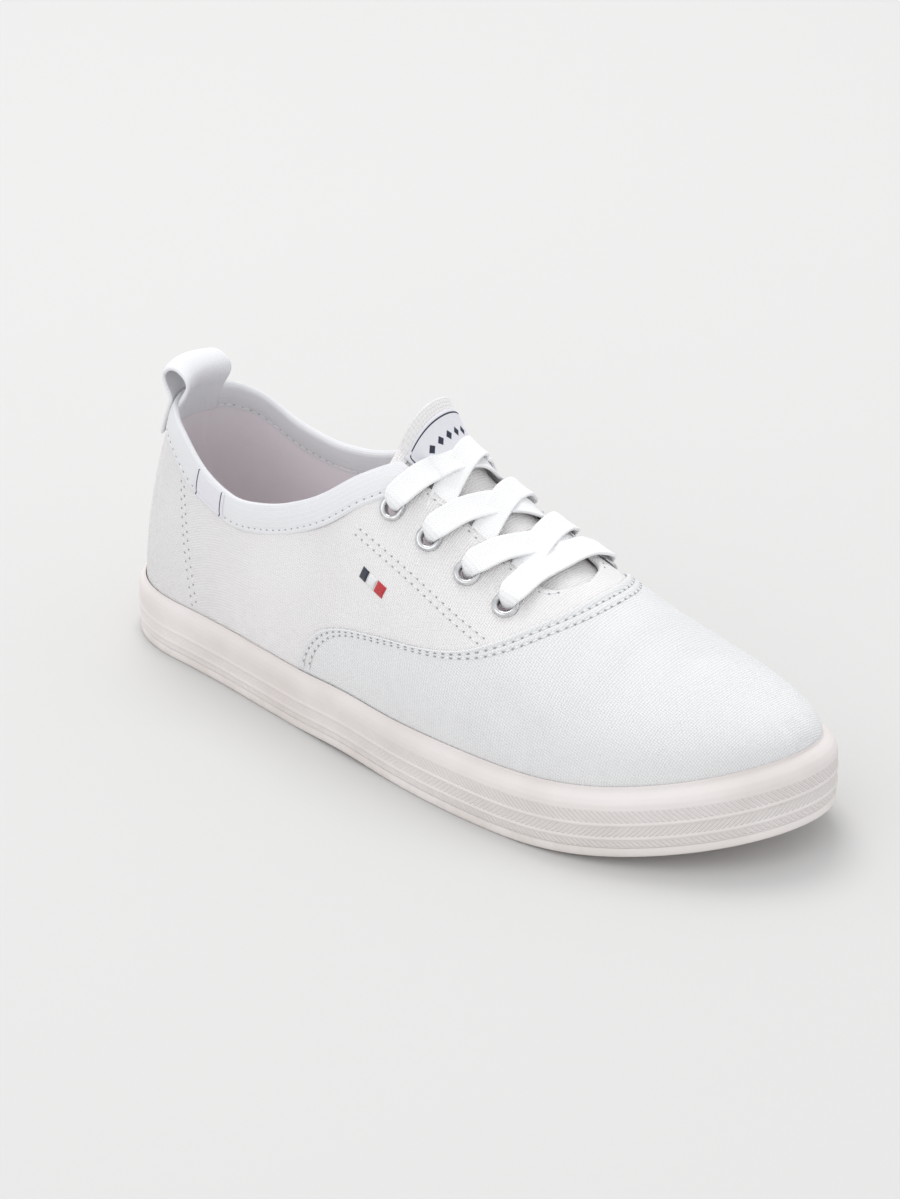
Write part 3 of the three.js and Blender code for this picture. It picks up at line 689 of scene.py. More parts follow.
def weave_group() -> bpy.types.NodeTree:
    """Builds the group that turns flat cloth places into woven threads.

    Returns:
        A group with the height of the threads and a mask of the gaps between them, where shade is painted.
    """
    number, vector = "NodeSocketFloat", "NodeSocketVector"
    tree, g, start, end = group(
        "woven threads",
        [("Cloth", vector, None), ("Thread", number, 0.8), ("Slub", number, 0.3)],
        [("Height", number), ("Gap shade", number)],
    )
    u, v, _ = g.split(start.outputs["Cloth"])
    drift = g.math("MULTIPLY", g.noise(start.outputs["Cloth"], 0.35), start.outputs["Slub"])
    phases = []
    for axis in (u, v):
        turns = g.math("DIVIDE", g.math("ADD", axis, drift), start.outputs["Thread"])
        phases.append(g.math("MULTIPLY", turns, math.pi))
    warp = g.math("ABSOLUTE", g.math("SINE", phases[0]))
    weft = g.math("ABSOLUTE", g.math("SINE", phases[1]))
    over = g.math("MULTIPLY", g.math("COSINE", phases[0]), g.math("COSINE", phases[1]))
    sign = g.math("ADD", g.math("MULTIPLY", g.math("SIGN", over), 0.5), 0.5)
    top = g.math("MULTIPLY", sign, g.math("ADD", warp, g.math("MULTIPLY", weft, 0.35)))
    hidden = g.math("ADD", weft, g.math("MULTIPLY", warp, 0.35))
    below = g.math("MULTIPLY", g.math("SUBTRACT", 1.0, sign), hidden)
    height = g.math("ADD", top, below)
    thick = g.noise(start.outputs["Cloth"], 1.4, 2.0)
    g.feed(end.inputs["Height"], g.math("MULTIPLY", height, g.math("ADD", 0.6, thick)))
    # Mask of the gaps between the threads, for painted shade in them.
    g.feed(end.inputs["Gap shade"], g.span(g.math("MULTIPLY", warp, weft), 0.28, 0.0))
    return tree


def shade_group() -> bpy.types.NodeTree:
    """Builds the group for slow changes of tone and dust near the sole.

    Returns:
        A group with a cloudy mask and a mask that is strongest low on the shoe.
    """
    number, vector = "NodeSocketFloat", "NodeSocketVector"
    tree, g, start, end = group(
        "tone and dust",
        [("Place", vector, None), ("Low", number, 0.02), ("High", number, 0.05)],
        [("Clouds", number), ("Dust", number)],
    )
    clouds = g.noise(start.outputs["Place"], 28.0, 4.0)
    _, _, z = g.split(start.outputs["Place"])
    low = g.span(z, start.outputs["High"], start.outputs["Low"])
    speckle = g.noise(start.outputs["Place"], 260.0, 5.0)
    g.feed(end.inputs["Clouds"], clouds)
    g.feed(end.inputs["Dust"], g.math("MULTIPLY", low, g.span(speckle, 0.45, 0.7)))
    return tree


class Groups:
    """The shared node groups, each built once."""

    weave: bpy.types.NodeTree
    shade: bpy.types.NodeTree

    @classmethod
    def build(cls) -> None:
        """Builds all groups."""
        cls.weave = weave_group()
        cls.shade = shade_group()


def new_material(name: str) -> tuple[bpy.types.Material, Graph, bpy.types.Node]:
    """Starts a material.

    Args:
        name: name of the finish.

    Returns:
        The material, its graph and its shader node.
    """
    material = bpy.data.materials.new(name)
    material.use_nodes = True
    shader = material.node_tree.nodes["Principled BSDF"]
    return material, Graph(material.node_tree), shader


Colour = tuple[float, float, float, float]


@dataclass(frozen=True)
class ClothFinish:
    """Woven cloth of one thread size, with painted shade in the gaps between its threads."""

    name: str
    light: Colour
    dark: Colour
    thread: float = 0.8
    relief: float = 0.12
    slub: float = 0.3
    roughness: float = 0.9
    sheen: float = 0.25
    dust: float = 0.25

    def material(self) -> bpy.types.Material:
        """Builds the material.

        Returns:
            A material that reads the cloth map.
        """
        material, g, shader = new_material(self.name)
        cloth = g.node("UVMap", uv_map="cloth").outputs["UV"]
        weave = g.node("Group", node_tree=Groups.weave)
        g.fill(weave, {"Cloth": cloth, "Thread": self.thread, "Slub": self.slub})
        shade = g.node("Group", node_tree=Groups.shade)
        g.feed(shade.inputs["Place"], g.node("TexCoord").outputs["Object"])
        # Painted shade: the gaps between the threads turn toward the dark colour.
        tone = g.blend(g.math("MULTIPLY", weave.outputs["Gap shade"], 0.55), self.light, self.dark)
        cloudy = g.math("MULTIPLY", g.span(shade.outputs["Clouds"], 0.35, 0.7), 0.18)
        tone = g.blend(cloudy, tone, self.dark)
        grey = (0.55, 0.53, 0.52, 1)
        tone = g.blend(g.math("MULTIPLY", shade.outputs["Dust"], self.dust * 0.4), tone, grey)
        g.fill(shader, {"Base Color": tone, "Roughness": self.roughness})
        g.fill(shader, {"Sheen Weight": self.sheen, "Sheen Roughness": 0.6})
        g.emboss(shader, weave.outputs["Height"], 0.7, self.relief)
        return material


@dataclass(frozen=True)
class BraidFinish:
    """Flat braided lace or ribbed tape: slanted threads that meet on lines along the strip, with painted
    shade where the threads sink.
    """

    name: str
    light: Colour
    dark: Colour
    pitch: float = 1.1
    plait: float = 1.1
    relief: float = 0.16

    def material(self) -> bpy.types.Material:
        """Builds the material.

        Returns:
            A material that reads the cloth map, along the strip and across it.
        """
        material, g, shader = new_material(self.name)
        u, v, _ = g.split(g.node("UVMap", uv_map="cloth").outputs["UV"])
        zigzag = g.math("PINGPONG", v, self.plait)
        slanted = g.math("DIVIDE", g.math("ADD", u, zigzag), self.pitch)
        threads = g.math("ABSOLUTE", g.math("SINE", g.math("MULTIPLY", slanted, math.pi)))
        plaits = g.math("MULTIPLY", g.math("DIVIDE", v, self.plait), math.pi)
        valley = g.math("ABSOLUTE", g.math("SINE", plaits))
        height = g.math("ADD", threads, g.math("MULTIPLY", valley, 0.7))
        # Painted shade: where the threads sink, the tone turns toward the dark colour.
        tone = g.blend(g.span(height, 0.7, 0.1, 0.0, 0.6), self.light, self.dark)
        g.fill(shader, {"Base Color": tone, "Roughness": 0.85, "Sheen Weight": 0.3})
        g.emboss(shader, height, 0.8, self.relief)
        return material


@dataclass(frozen=True)
class RubberFinish:
    """Moulded rubber, with slanted hatching in bands on the foxing."""

    name: str
    light: Colour
    warm: Colour
    hatched: bool = False
    tread: bool = False
    roughness: float = 0.5

    def hatching(self, g: Graph) -> bpy.types.NodeSocket:
        """Height of the three rows of hatching, which fade behind the ball of the foot."""
        u, v, _ = g.split(g.node("UVMap", uv_map="cloth").outputs["UV"])
        x, _, _ = g.split(g.node("TexCoord").outputs["Object"])
        total: object = 0.0
        for low, high, lean in ((0.335, 0.485, 1.0), (0.555, 0.735, -1.0), (0.175, 0.265, -1.0)):
            inside = g.math(
                "MULTIPLY",
                g.span(v, low - 0.008, low + 0.008),
                g.span(v, high + 0.008, high - 0.008),
            )
            slanted = g.math("ADD", u, g.math("MULTIPLY", v, lean * 23.0))
            wave = g.math("SINE", g.math("MULTIPLY", slanted, 2 * math.pi / 1.9))
            total = g.math("ADD", total, g.math("MULTIPLY", inside, g.span(wave, -0.5, 0.7)))
        return g.math("MULTIPLY", total, g.span(x, 0.07, 0.15, 0.12, 1.0))

    def treading(self, g: Graph) -> bpy.types.NodeSocket:
        """Height of the plain ripple tread under the sole."""
        x, y, _ = g.split(g.node("TexCoord").outputs["Object"])
        _, _, down = g.split(g.node("TexCoord").outputs["Normal"])
        ripple = g.math("ADD", x, g.math("PINGPONG", y, 6 * MM))
        wave = g.math("SINE", g.math("MULTIPLY", ripple, 2 * math.pi / (4 * MM)))
        return g.math("MULTIPLY", g.span(wave, -0.3, 0.3), g.span(down, -0.7, -0.95, 0.0, 4.0))

    def material(self) -> bpy.types.Material:
        """Builds the material.

        Returns:
            A material with a slightly cloudy tone and a fine moulded grain.
        """
        material, g, shader = new_material(self.name)
        place = g.node("TexCoord").outputs["Object"]
        shade = g.node("Group", node_tree=Groups.shade)
        g.fill(shade, {"Place": place, "Low": 0.0, "High": 12 * MM})
        tone = g.blend(g.span(shade.outputs["Clouds"], 0.3, 0.75), self.light, self.warm)
        dirt = (0.5, 0.44, 0.38, 1)
        tone = g.blend(g.math("MULTIPLY", shade.outputs["Dust"], 0.16), tone, dirt)
        height: object = g.math("MULTIPLY", g.noise(place, 900.0, 2.0), 0.12)
        if self.hatched:
            rows = self.hatching(g)
            height = g.math("ADD", height, rows)
            tone = g.blend(g.math("MULTIPLY", rows, 0.1), tone, self.warm)
        if self.tread:
            height = g.math("ADD", height, self.treading(g))
        smooth, rough = self.roughness - 0.06, self.roughness + 0.1
        gloss = g.span(shade.outputs["Clouds"], 0.3, 0.8, smooth, rough)
        g.fill(shader, {"Base Color": tone, "Roughness": gloss})
        g.emboss(shader, height, 0.9, 0.3)
        return material


@dataclass(frozen=True)
class MetalFinish:
    """Polished nickel with faint handling marks."""

    name: str = "nickel"
    light: Colour = (0.7, 0.7, 0.71, 1)
    dark: Colour = (0.4, 0.4, 0.42, 1)

    def material(self) -> bpy.types.Material:
        """Builds the material.

        Returns:
            A metal with a slightly uneven gloss.
        """
        material, g, shader = new_material(self.name)
        place = g.node("TexCoord").outputs["Object"]
        marks = g.noise(place, 420.0, 4.0)
        tone = g.blend(g.span(marks, 0.4, 0.8), self.light, self.dark)
        gloss = g.span(marks, 0.3, 0.8, 0.1, 0.28)
        g.fill(shader, {"Base Color": tone, "Roughness": gloss, "Metallic": 1.0})
        return material


@dataclass(frozen=True)
class PatchFinish:
    """Woven patch: white ground, a dark rounded frame and a row of small diamonds."""

    name: str
    width: float
    length: float
    inset: float = 1.3
    corner: float = 1.6
    line: float = 0.3
    diamonds: int = 5
    light: Colour = (0.83, 0.82, 0.87, 1)
    dark: Colour = (0.6, 0.6, 0.66, 1)
    ink: Colour = (0.03, 0.035, 0.06, 1)

    def frame(self, g: Graph, across: object, along: object) -> bpy.types.NodeSocket:
        """Ink of the rounded frame."""
        x = g.math("SUBTRACT", across, self.width / 2 - self.inset - self.corner)
        y = g.math("SUBTRACT", along, self.length / 2 - self.inset - self.corner)
        outside = [g.math("POWER", g.math("MAXIMUM", side, 0.0), 2.0) for side in (x, y)]
        distance = g.math("SQRT", g.math("ADD", *outside))
        distance = g.math("ADD", distance, g.math("MINIMUM", g.math("MAXIMUM", x, y), 0.0))
        off = g.math("ABSOLUTE", g.math("SUBTRACT", distance, self.corner))
        return g.span(off, self.line, self.line * 0.6)

    def material(self) -> bpy.types.Material:
        """Builds the material.

        Returns:
            A material that reads the patch's own map, in millimetres from its middle.
        """
        material, g, shader = new_material(self.name)
        cloth = g.node("UVMap", uv_map="cloth").outputs["UV"]
        u, v, _ = g.split(cloth)
        across = g.math("ABSOLUTE", u)
        along = g.math("ABSOLUTE", v)
        ink = self.frame(g, across, along)
        if self.diamonds:
            pitch = (self.width - 10) / self.diamonds
            cell = g.math("PINGPONG", u, pitch / 2)
            lozenge = g.math("ADD", cell, g.math("MULTIPLY", along, 0.8))
            row = g.span(across, self.width / 2 - 4.6, self.width / 2 - 4.9)
            ink = g.math("MAXIMUM", ink, g.math("MULTIPLY", g.span(lozenge, 1.35, 1.1), row))
        weave = g.node("Group", node_tree=Groups.weave)
        g.fill(weave, {"Cloth": cloth, "Thread": 0.35})
        # Painted shade in the gaps of the ground's weave.
        ground = g.blend(g.math("MULTIPLY", weave.outputs["Gap shade"], 0.4), self.light, self.dark)
        g.fill(shader, {"Base Color": g.blend(ink, ground, self.ink), "Roughness": 0.8})
        g.emboss(shader, g.math("ADD", weave.outputs["Height"], ink), 0.6, 0.1)
        return material


class Finishes:
    """All finishes of the shoe, each built once."""

    # canvas and quarter are copies of one white cloth: canvas is darker and cooler, painted shade, and
    # quarter lighter and warmer, painted warm light.
    canvas: bpy.types.Material
    quarter: bpy.types.Material
    lining: bpy.types.Material
    tape: bpy.types.Material
    lace: bpy.types.Material
    thread: bpy.types.Material
    # Dark grey for the discs at the stitch holes: painted shade.
    hole: bpy.types.Material
    rubber: bpy.types.Material
    sole: bpy.types.Material
    nickel: bpy.types.Material
    navy: bpy.types.Material
    red: bpy.types.Material

    @classmethod
    def build(cls) -> None:
        """Builds every material."""
        # The vamp's copy of the white canvas is darker and cooler: painted shade.
        cls.canvas = ClothFinish(
            "white canvas", (0.83, 0.83, 0.835, 1), (0.64, 0.64, 0.66, 1), thread=1.0, relief=0.22
        ).material()
        # Lighter, warmer copy of the same canvas for the quarters and the tongue: painted warm light.
        cls.quarter = ClothFinish(
            "warm lit quarter canvas", (0.89, 0.87, 0.868, 1), (0.69, 0.665, 0.67, 1), thread=0.9, relief=0.2
        ).material()
        cls.lining = ClothFinish(
            "cotton lining", (0.93, 0.875, 0.9, 1), (0.8, 0.74, 0.77, 1), thread=0.5, relief=0.06
        ).material()
        cls.tape = BraidFinish(
            "ribbed tape", (0.83, 0.83, 0.85, 1), (0.66, 0.66, 0.69, 1), pitch=0.7, plait=0.8, relief=0.1
        ).material()
        cls.lace = BraidFinish(
            "braided lace", (0.93, 0.93, 0.94, 1), (0.8, 0.8, 0.82, 1), pitch=0.8, plait=0.8, relief=0.12
        ).material()
        cls.thread = ClothFinish(
            "sewing thread", (0.86, 0.86, 0.87, 1), (0.74, 0.74, 0.76, 1), thread=0.3, relief=0.05
        ).material()
        # Dark grey cloth for the discs between the stitches: painted shade in the holes that the needle
        # left.
        cls.hole = ClothFinish("needle hole shade", (0.36, 0.36, 0.38, 1), (0.3, 0.3, 0.32, 1)).material()
        cls.rubber = RubberFinish(
            "foxing rubber", (0.81, 0.765, 0.75, 1), (0.72, 0.665, 0.645, 1), hatched=True
        ).material()
        cls.sole = RubberFinish(
            "outsole rubber", (0.82, 0.775, 0.755, 1), (0.71, 0.655, 0.625, 1), tread=True
        ).material()
        cls.nickel = MetalFinish().material()
        cls.navy = ClothFinish(
            "navy thread", (0.02, 0.025, 0.05, 1), (0.01, 0.012, 0.03, 1), thread=0.4
        ).material()
        cls.red = ClothFinish(
            "red thread", (0.62, 0.02, 0.03, 1), (0.35, 0.01, 0.02, 1), thread=0.4
        ).material()


@dataclass
class VampEdge:
    """The folded back edge of the vamp on one side, from the foxing to the crest."""

    side: Side

    def __post_init__(self) -> None:
        """Finds the edge on the last."""
        along = (0.352, 0.356, 0.382, 0.423, 0.488, 0.554, 0.605, 0.642, 0.67, 0.696, 0.716, 0.73)
        above = (0.1, 0.26, 0.38, 0.445, 0.485, 0.51, 0.54, 0.585, 0.632, 0.675, 0.73, 0.85)
        x = Curve(*zip(steps(11), along))
        z = Curve(*zip(steps(11), above))
        points = []
        for t in steps(160):
            spot = self.find(x.at(t) * LAST.length, z.at(t) * LAST.instep)
            points.append(spot)
            if spot[1] >= 1:
                break
        lengths = [0.0]
        for a, b in zip(points, points[1:]):
            gap = LAST.shell(a[0], self.side, a[1]) - LAST.shell(b[0], self.side, b[1])
            lengths.append(lengths[-1] + gap.length)
        self.points = points
        self.lengths = lengths

    def find(self, x: float, z: float) -> tuple[float, float]:
        """Finds a point seen from the side.

        Args:
            x: length from the back of the heel.
            z: height.

        Returns:
            Its place and climb.
        """
        at, climb = x / LAST.length, 0.0
        for _ in range(5):
            low, high = 0.0, 1.0
            for _ in range(14):
                climb = (low + high) / 2
                if LAST.shell(at, self.side, climb).z < z:
                    low = climb
                else:
                    high = climb
            at += (x - LAST.shell(at, self.side, climb).x) / LAST.length
        return at, 1.0 if climb > 0.9995 else climb

    def at(self, share: float) -> tuple[float, float]:
        """Place and climb at a share of the edge's length."""
        goal = clamp(share) * self.lengths[-1]
        k = next((i for i, gone in enumerate(self.lengths) if gone >= goal), len(self.lengths) - 1)
        k = max(1, k)
        span = self.lengths[k] - self.lengths[k - 1] or 1
        t = (goal - self.lengths[k - 1]) / span
        a, b = self.points[k - 1], self.points[k]
        return mix(a[0], b[0], t), mix(a[1], b[1], t)


@dataclass
class Upper:
    """Canvas upper: quarters under a vamp with a folded edge."""

    hem: float = 9.0
    dense: float = 9.0
    dense_share: float = 0.24
    reach_under: float = 0.76
    eyelet_hole: float = 2.9
    vamp_wall: float = 0.7
    tip_from: float = 0.955
    tip_clear: float = 1.5

    def stations(self, share: float) -> float:
        """Place of a quarter column: closer together at the heel and at the collar's front."""
        marks = ((0, 0), (0.12, 0.02), (0.3, 0.12), (0.62, 0.44), (0.7, 0.49), (0.94, 0.676))
        marks += ((1, self.reach_under),)
        for (a, x), (b, y) in zip(marks, marks[1:]):
            if share <= b:
                return mix(x, y, (share - a) / (b - a))
        return self.reach_under

    def hem_cloth(self, u: float, v: float) -> tuple[float, float]:
        """Cloth of a hem tucked behind the foxing."""
        return u * LAST.length, v * self.hem

    def quarters(self) -> bpy.types.Object:
        """Builds both quarters as one shell, with its eyelet holes cut."""
        sheet = Sheet("quarters")
        for side in Side:

            def place(u: float, v: float, side: Side = side) -> Vector:
                """Point of the quarter."""
                at = self.stations(u)
                climb = v * LAST.limit(at, side, 1.0)
                low = ease(v * 8)
                return LAST.shell(at, side, climb, low * creased(at, side.value * (1 - climb)))

            def cloth(u: float, v: float, side: Side = side) -> tuple[float, float]:
                """Cloth of the quarter."""
                at = self.stations(u)
                return LAST.cloth(at, side, v * LAST.limit(at, side, 1.0))

            def skirt(u: float, v: float, side: Side = side) -> Vector:
                """Point of the hem tucked behind the foxing."""
                at = self.stations(u)
                return LAST.shell(at, side, 0) - Vector((0, 0, self.hem * (1 - v)))

            sheet.lay(130, 34, place, cloth, flip=side is Side.INNER)
            sheet.lay(130, 3, skirt, self.hem_cloth, flip=side is Side.INNER)
        sheet.weld()
        for seat in Eyelets.seats():
            self.cut_hole(sheet, seat)
        # The quarters' canvas copy is lighter and warmer: painted warm light.
        piece = sheet.finish([Finishes.quarter, Finishes.lining])
        thicken(piece, LAST.wall, inner=1)
        return piece

    def cut_hole(self, sheet: Sheet, seat: "Seat") -> None:
        """Cuts a round hole with a ring of planes.

        Args:
            sheet: the cloth to cut.
            seat: seat of the eyelet that goes in the hole.
        """
        centre = seat.spot(0)
        out = seat.out
        first = out.orthogonal().normalized()
        near = [f for f in sheet.mesh.faces if (f.calc_center_median() - centre).length < 8 * MM]
        for turn in steps(12)[:-1]:
            rim = Matrix.Rotation(2 * math.pi * turn, 3, out) @ first
            edges = {e for f in near if f.is_valid for e in f.edges}
            verts = {v for f in near if f.is_valid for v in f.verts}
            made = bmesh.ops.bisect_plane(
                sheet.mesh,
                geom=[*[f for f in near if f.is_valid], *edges, *verts],
                plane_co=centre + rim * self.eyelet_hole * MM,
                plane_no=rim,
            )
            near = [g for g in made["geom"] if isinstance(g, bmesh.types.BMFace)] or near
        inside = []
        for f in near:
            if not f.is_valid:
                continue
            off = f.calc_center_median() - centre
            flat = off - out * off.dot(out)
            if flat.length < self.eyelet_hole * 0.98 * MM:
                inside.append(f)
        bmesh.ops.delete(sheet.mesh, geom=inside, context="FACES")

    def vamp(self) -> bpy.types.Object:
        """Builds the vamp, with a rolled hem along its back edge."""
        edges = {side: VampEdge(side) for side in Side}
        sheet = Sheet("vamp")

        def spot(u: float, v: float) -> tuple[float, Side, float, float]:
            """Place, side, climb and distance from the edge."""
            reach = 2 * v - 1
            side = Side.OUTER if reach < 0 else Side.INNER
            share = 1 - abs(reach)
            at, climb = edges[side].at(share)
            span = (1 - at) * LAST.length
            inside = self.dense / span
            along = u / self.dense_share * inside
            if u >= self.dense_share:
                ahead = clamp((u - self.dense_share) / (1 - self.dense_share))
                along = mix(inside, 1, ahead * (1.7 - 0.7 * ahead))
            return mix(at, 1, along), side, mix(climb, share, along), along * span

        def place(u: float, v: float) -> Vector:
            """Point of the vamp."""
            at, side, climb, off = spot(u, v)
            hem = 0.4 * math.exp(-(((off - 1.2) / 1.0) ** 2)) + 0.2 * math.exp(-(((off - 4.5) / 1.1) ** 2))
            for row in VAMP_ROWS:
                hem -= 0.3 * math.exp(-((off - row) ** 2) / 0.14)
            start = 0.5 * ease(off / 0.5)
            fade = ease(climb * 14)
            flat = 0.4 + start + hem
            rumple = ease(climb * 8) * ease((0.97 - at) / 0.08) * creased(at, side.value * (1 - climb))
            proud = mix(min(flat, 0.15), flat + rumple, fade)
            # Both sides end in the same points at the toe, so that the weld closes them.
            return LAST.shell(at, Side.OUTER if u > 0.999 else side, climb, proud)

        def cloth(u: float, v: float) -> tuple[float, float]:
            """Cloth of the vamp."""
            at, side, climb, _ = spot(u, v)
            return LAST.cloth(at, side, climb)

        def skirt(v_share: float, drop: float) -> Vector:
            """Point of the hem tucked behind the foxing, round the toe."""
            turn = 2 * v_share - 1
            side = Side.OUTER if turn < 0 else Side.INNER
            start = edges[side].at(0)[0]
            at = mix(1, start, abs(turn) ** 1.6)
            return LAST.shell(at, side, 0, 0.15) - Vector((0, 0, self.hem * (1 - drop)))

        sheet.lay(110, 96, place, cloth)
        sheet.lay(120, 3, skirt, self.hem_cloth)
        sheet.weld()
        self.smooth_tip(sheet.mesh)
        # The vamp's canvas copy is darker and cooler: painted shade.
        piece = sheet.finish([Finishes.canvas])
        thicken(piece, self.vamp_wall)
        return piece

    def smooth_tip(self, mesh: bmesh.types.BMesh) -> None:
        """Evens out the points that crowd at the toe, above the foxing."""
        low = placed(Vector((self.tip_from * LAST.length, 0, LAST.spring + LAST.foxing + self.tip_clear)))
        tip = [v for v in mesh.verts if v.co.x > low.x and v.co.z > low.z and not v.is_boundary]
        for _ in range(4):
            bmesh.ops.smooth_vert(
                mesh, verts=tip, factor=0.5, use_axis_x=True, use_axis_y=True, use_axis_z=True
            )

    def build(self) -> None:
        """Builds and dresses the upper."""
        settle(self.quarters(), "canvas", "upper")
        settle(self.vamp(), "canvas")


@dataclass(frozen=True)
class Seat:
    """Where an eyelet sits on the upper."""

    row: int
    side: Side
    at: float
    reach: float

    @property
    def out(self) -> Vector:
        """Direction out of the upper."""
        return LAST.normal(self.at, self.reach)

    def spot(self, proud: float) -> Vector:
        """Point over the seat, in metres."""
        return placed(LAST.cross(self.at, self.reach) + self.out * proud)


@dataclass
class Eyelets:
    """Eight rolled nickel eyelets."""

    flange: float = 4.5
    bore: float = 2.5
    height: float = 1.3
    tube: float = 2.0
    sides: int = 40
    wall: float = 0.4

    @staticmethod
    @lru_cache(maxsize=None)
    def seats() -> tuple[Seat, ...]:
        """All seats, from the collar down."""
        made = []
        for row in range(4):
            at = mix(LAST.eyelet_back, LAST.eyelet_front, row / 3)
            for side in Side:
                off = LAST.throat_half(at, side) + LAST.eyelet_margin
                made.append(Seat(row + 1, side, at, LAST.reach(at, side, off)))
        return tuple(made)

    def profile(self) -> list[tuple[float, float]]:
        """Radius and height of the points round the rolled section."""
        middle = (self.flange + self.bore) / 2
        half = (self.flange - self.bore) / 2
        points = [(self.bore, -self.tube), (self.bore, 0.2)]
        for t in steps(10):
            angle = math.pi * (1 - t)
            points.append((middle + half * math.cos(angle), 0.3 + (self.height - 0.3) * math.sin(angle)))
        back = self.bore + self.wall
        return [*points, (self.flange - 0.1, 0.15), (back, 0.15), (back, -self.tube)]

    def build(self) -> None:
        """Spins each eyelet from its rolled section."""
        profile = self.profile()
        for seat in Eyelets.seats():
            mesh = bmesh.new()
            points = [mesh.verts.new((r * MM, 0, h * MM)) for r, h in profile]
            edges = [mesh.edges.new(pair) for pair in zip(points, points[1:] + points[:1])]
            bmesh.ops.spin(
                mesh,
                geom=[*points, *edges],
                cent=(0, 0, 0),
                axis=(0, 0, 1),
                angle=2 * math.pi,
                steps=self.sides,
                use_merge=True,
            )
            bmesh.ops.remove_doubles(mesh, verts=mesh.verts[:], dist=0.005 * MM)
            bmesh.ops.recalc_face_normals(mesh, faces=mesh.faces[:])
            for face in mesh.faces:
                face.smooth = True
            turn = Vector((0, 0, 1)).rotation_difference(seat.out).to_matrix().to_4x4()
            bmesh.ops.transform(mesh, matrix=Matrix.Translation(seat.spot(0)) @ turn, verts=mesh.verts[:])
            side = "outer" if seat.side is Side.OUTER else "inner"
            piece = add_piece(f"ring_{side}_{seat.row}", mesh, [Finishes.nickel])
            settle(piece, "eyelet", f"eyelet_{side}_{seat.row}")


@dataclass
class Binding:
    """Wide tape folded over the collar's edge."""

    width: float = 9.0
    proud: float = 0.75
    front: float = 0.484
    face: float = 0.4
    groove: float = 0.17
    girth: float = 330
    cut: float = 24

    def puff(self, t: float) -> float:
        """Swell of one face of the tape, drawn in along its row of stitches."""
        swell = 0.25 * math.sin(math.pi * clamp((t - 0.22) / 0.78))
        return swell - 0.3 * math.exp(-(((t - self.groove) / 0.05) ** 2))

    def profile(self, v: float) -> tuple[float, float, float]:
        """Share of the way up, distance out of the wall and lift over the edge.

        Args:
            v: share round the fold, from the outside's lower edge to the inside's.

        Returns:
            The three values for the point.
        """
        outside, inside = self.proud, -LAST.wall - self.proud
        if v < self.face:
            t = v / self.face
            return t, mix(0.1, outside, ease(t / 0.06)) + self.puff(t), 0.0
        if v > 1 - self.face:
            t = (1 - v) / self.face
            return t, mix(-LAST.wall - 0.1, inside, ease(t / 0.06)) - self.puff(t), 0.0
        turn = math.pi * (v - self.face) / (1 - 2 * self.face)
        middle, half = (outside + inside) / 2, (outside - inside) / 2
        return 1.0, middle + half * math.cos(turn), 0.8 * half * math.sin(turn)

    def span(self, at: float, side: Side) -> tuple[float, float]:
        """Climb of the tape's lower edge and of the collar's edge."""
        top = LAST.limit(at, side, 0.0)
        return min(LAST.collar_climb(at, side, self.width), top), top

    def point(self, at: float, side: Side, v: float, extra: float = 0.0) -> Vector:
        """Point of the tape.

        Args:
            at: place along the sole.
            side: side of the foot.
            v: share round the fold.
            extra: distance over the tape's face.

        Returns:
            The point in millimetres.
        """
        share, proud, lift = self.profile(v)
        low, top = self.span(at, side)
        climb = mix(low, top, share)
        here = LAST.shell(at, side, climb, proud + (extra if v < 0.5 else -extra))
        if lift:
            up = (LAST.shell(at, side, top) - LAST.shell(at, side, max(0, top - 0.03))).normalized()
            here += up * lift
        return here

    def build(self) -> None:
        """Builds and dresses the tape."""
        sheet = Sheet("collar_tape")

        def where(u: float) -> tuple[float, Side]:
            """Place and side round the collar."""
            turn = 2 * u - 1
            side = Side.OUTER if turn < 0 else Side.INNER
            return self.front * abs(turn) ** 1.15, side

        sheet.lay(
            190,
            50,
            lambda u, v: self.point(*where(u), v),
            lambda u, v: (u * self.girth, v * self.cut),
            flip=True,
        )
        sheet.weld()
        settle(sheet.finish([Finishes.tape]), "tape", "collar_binding")


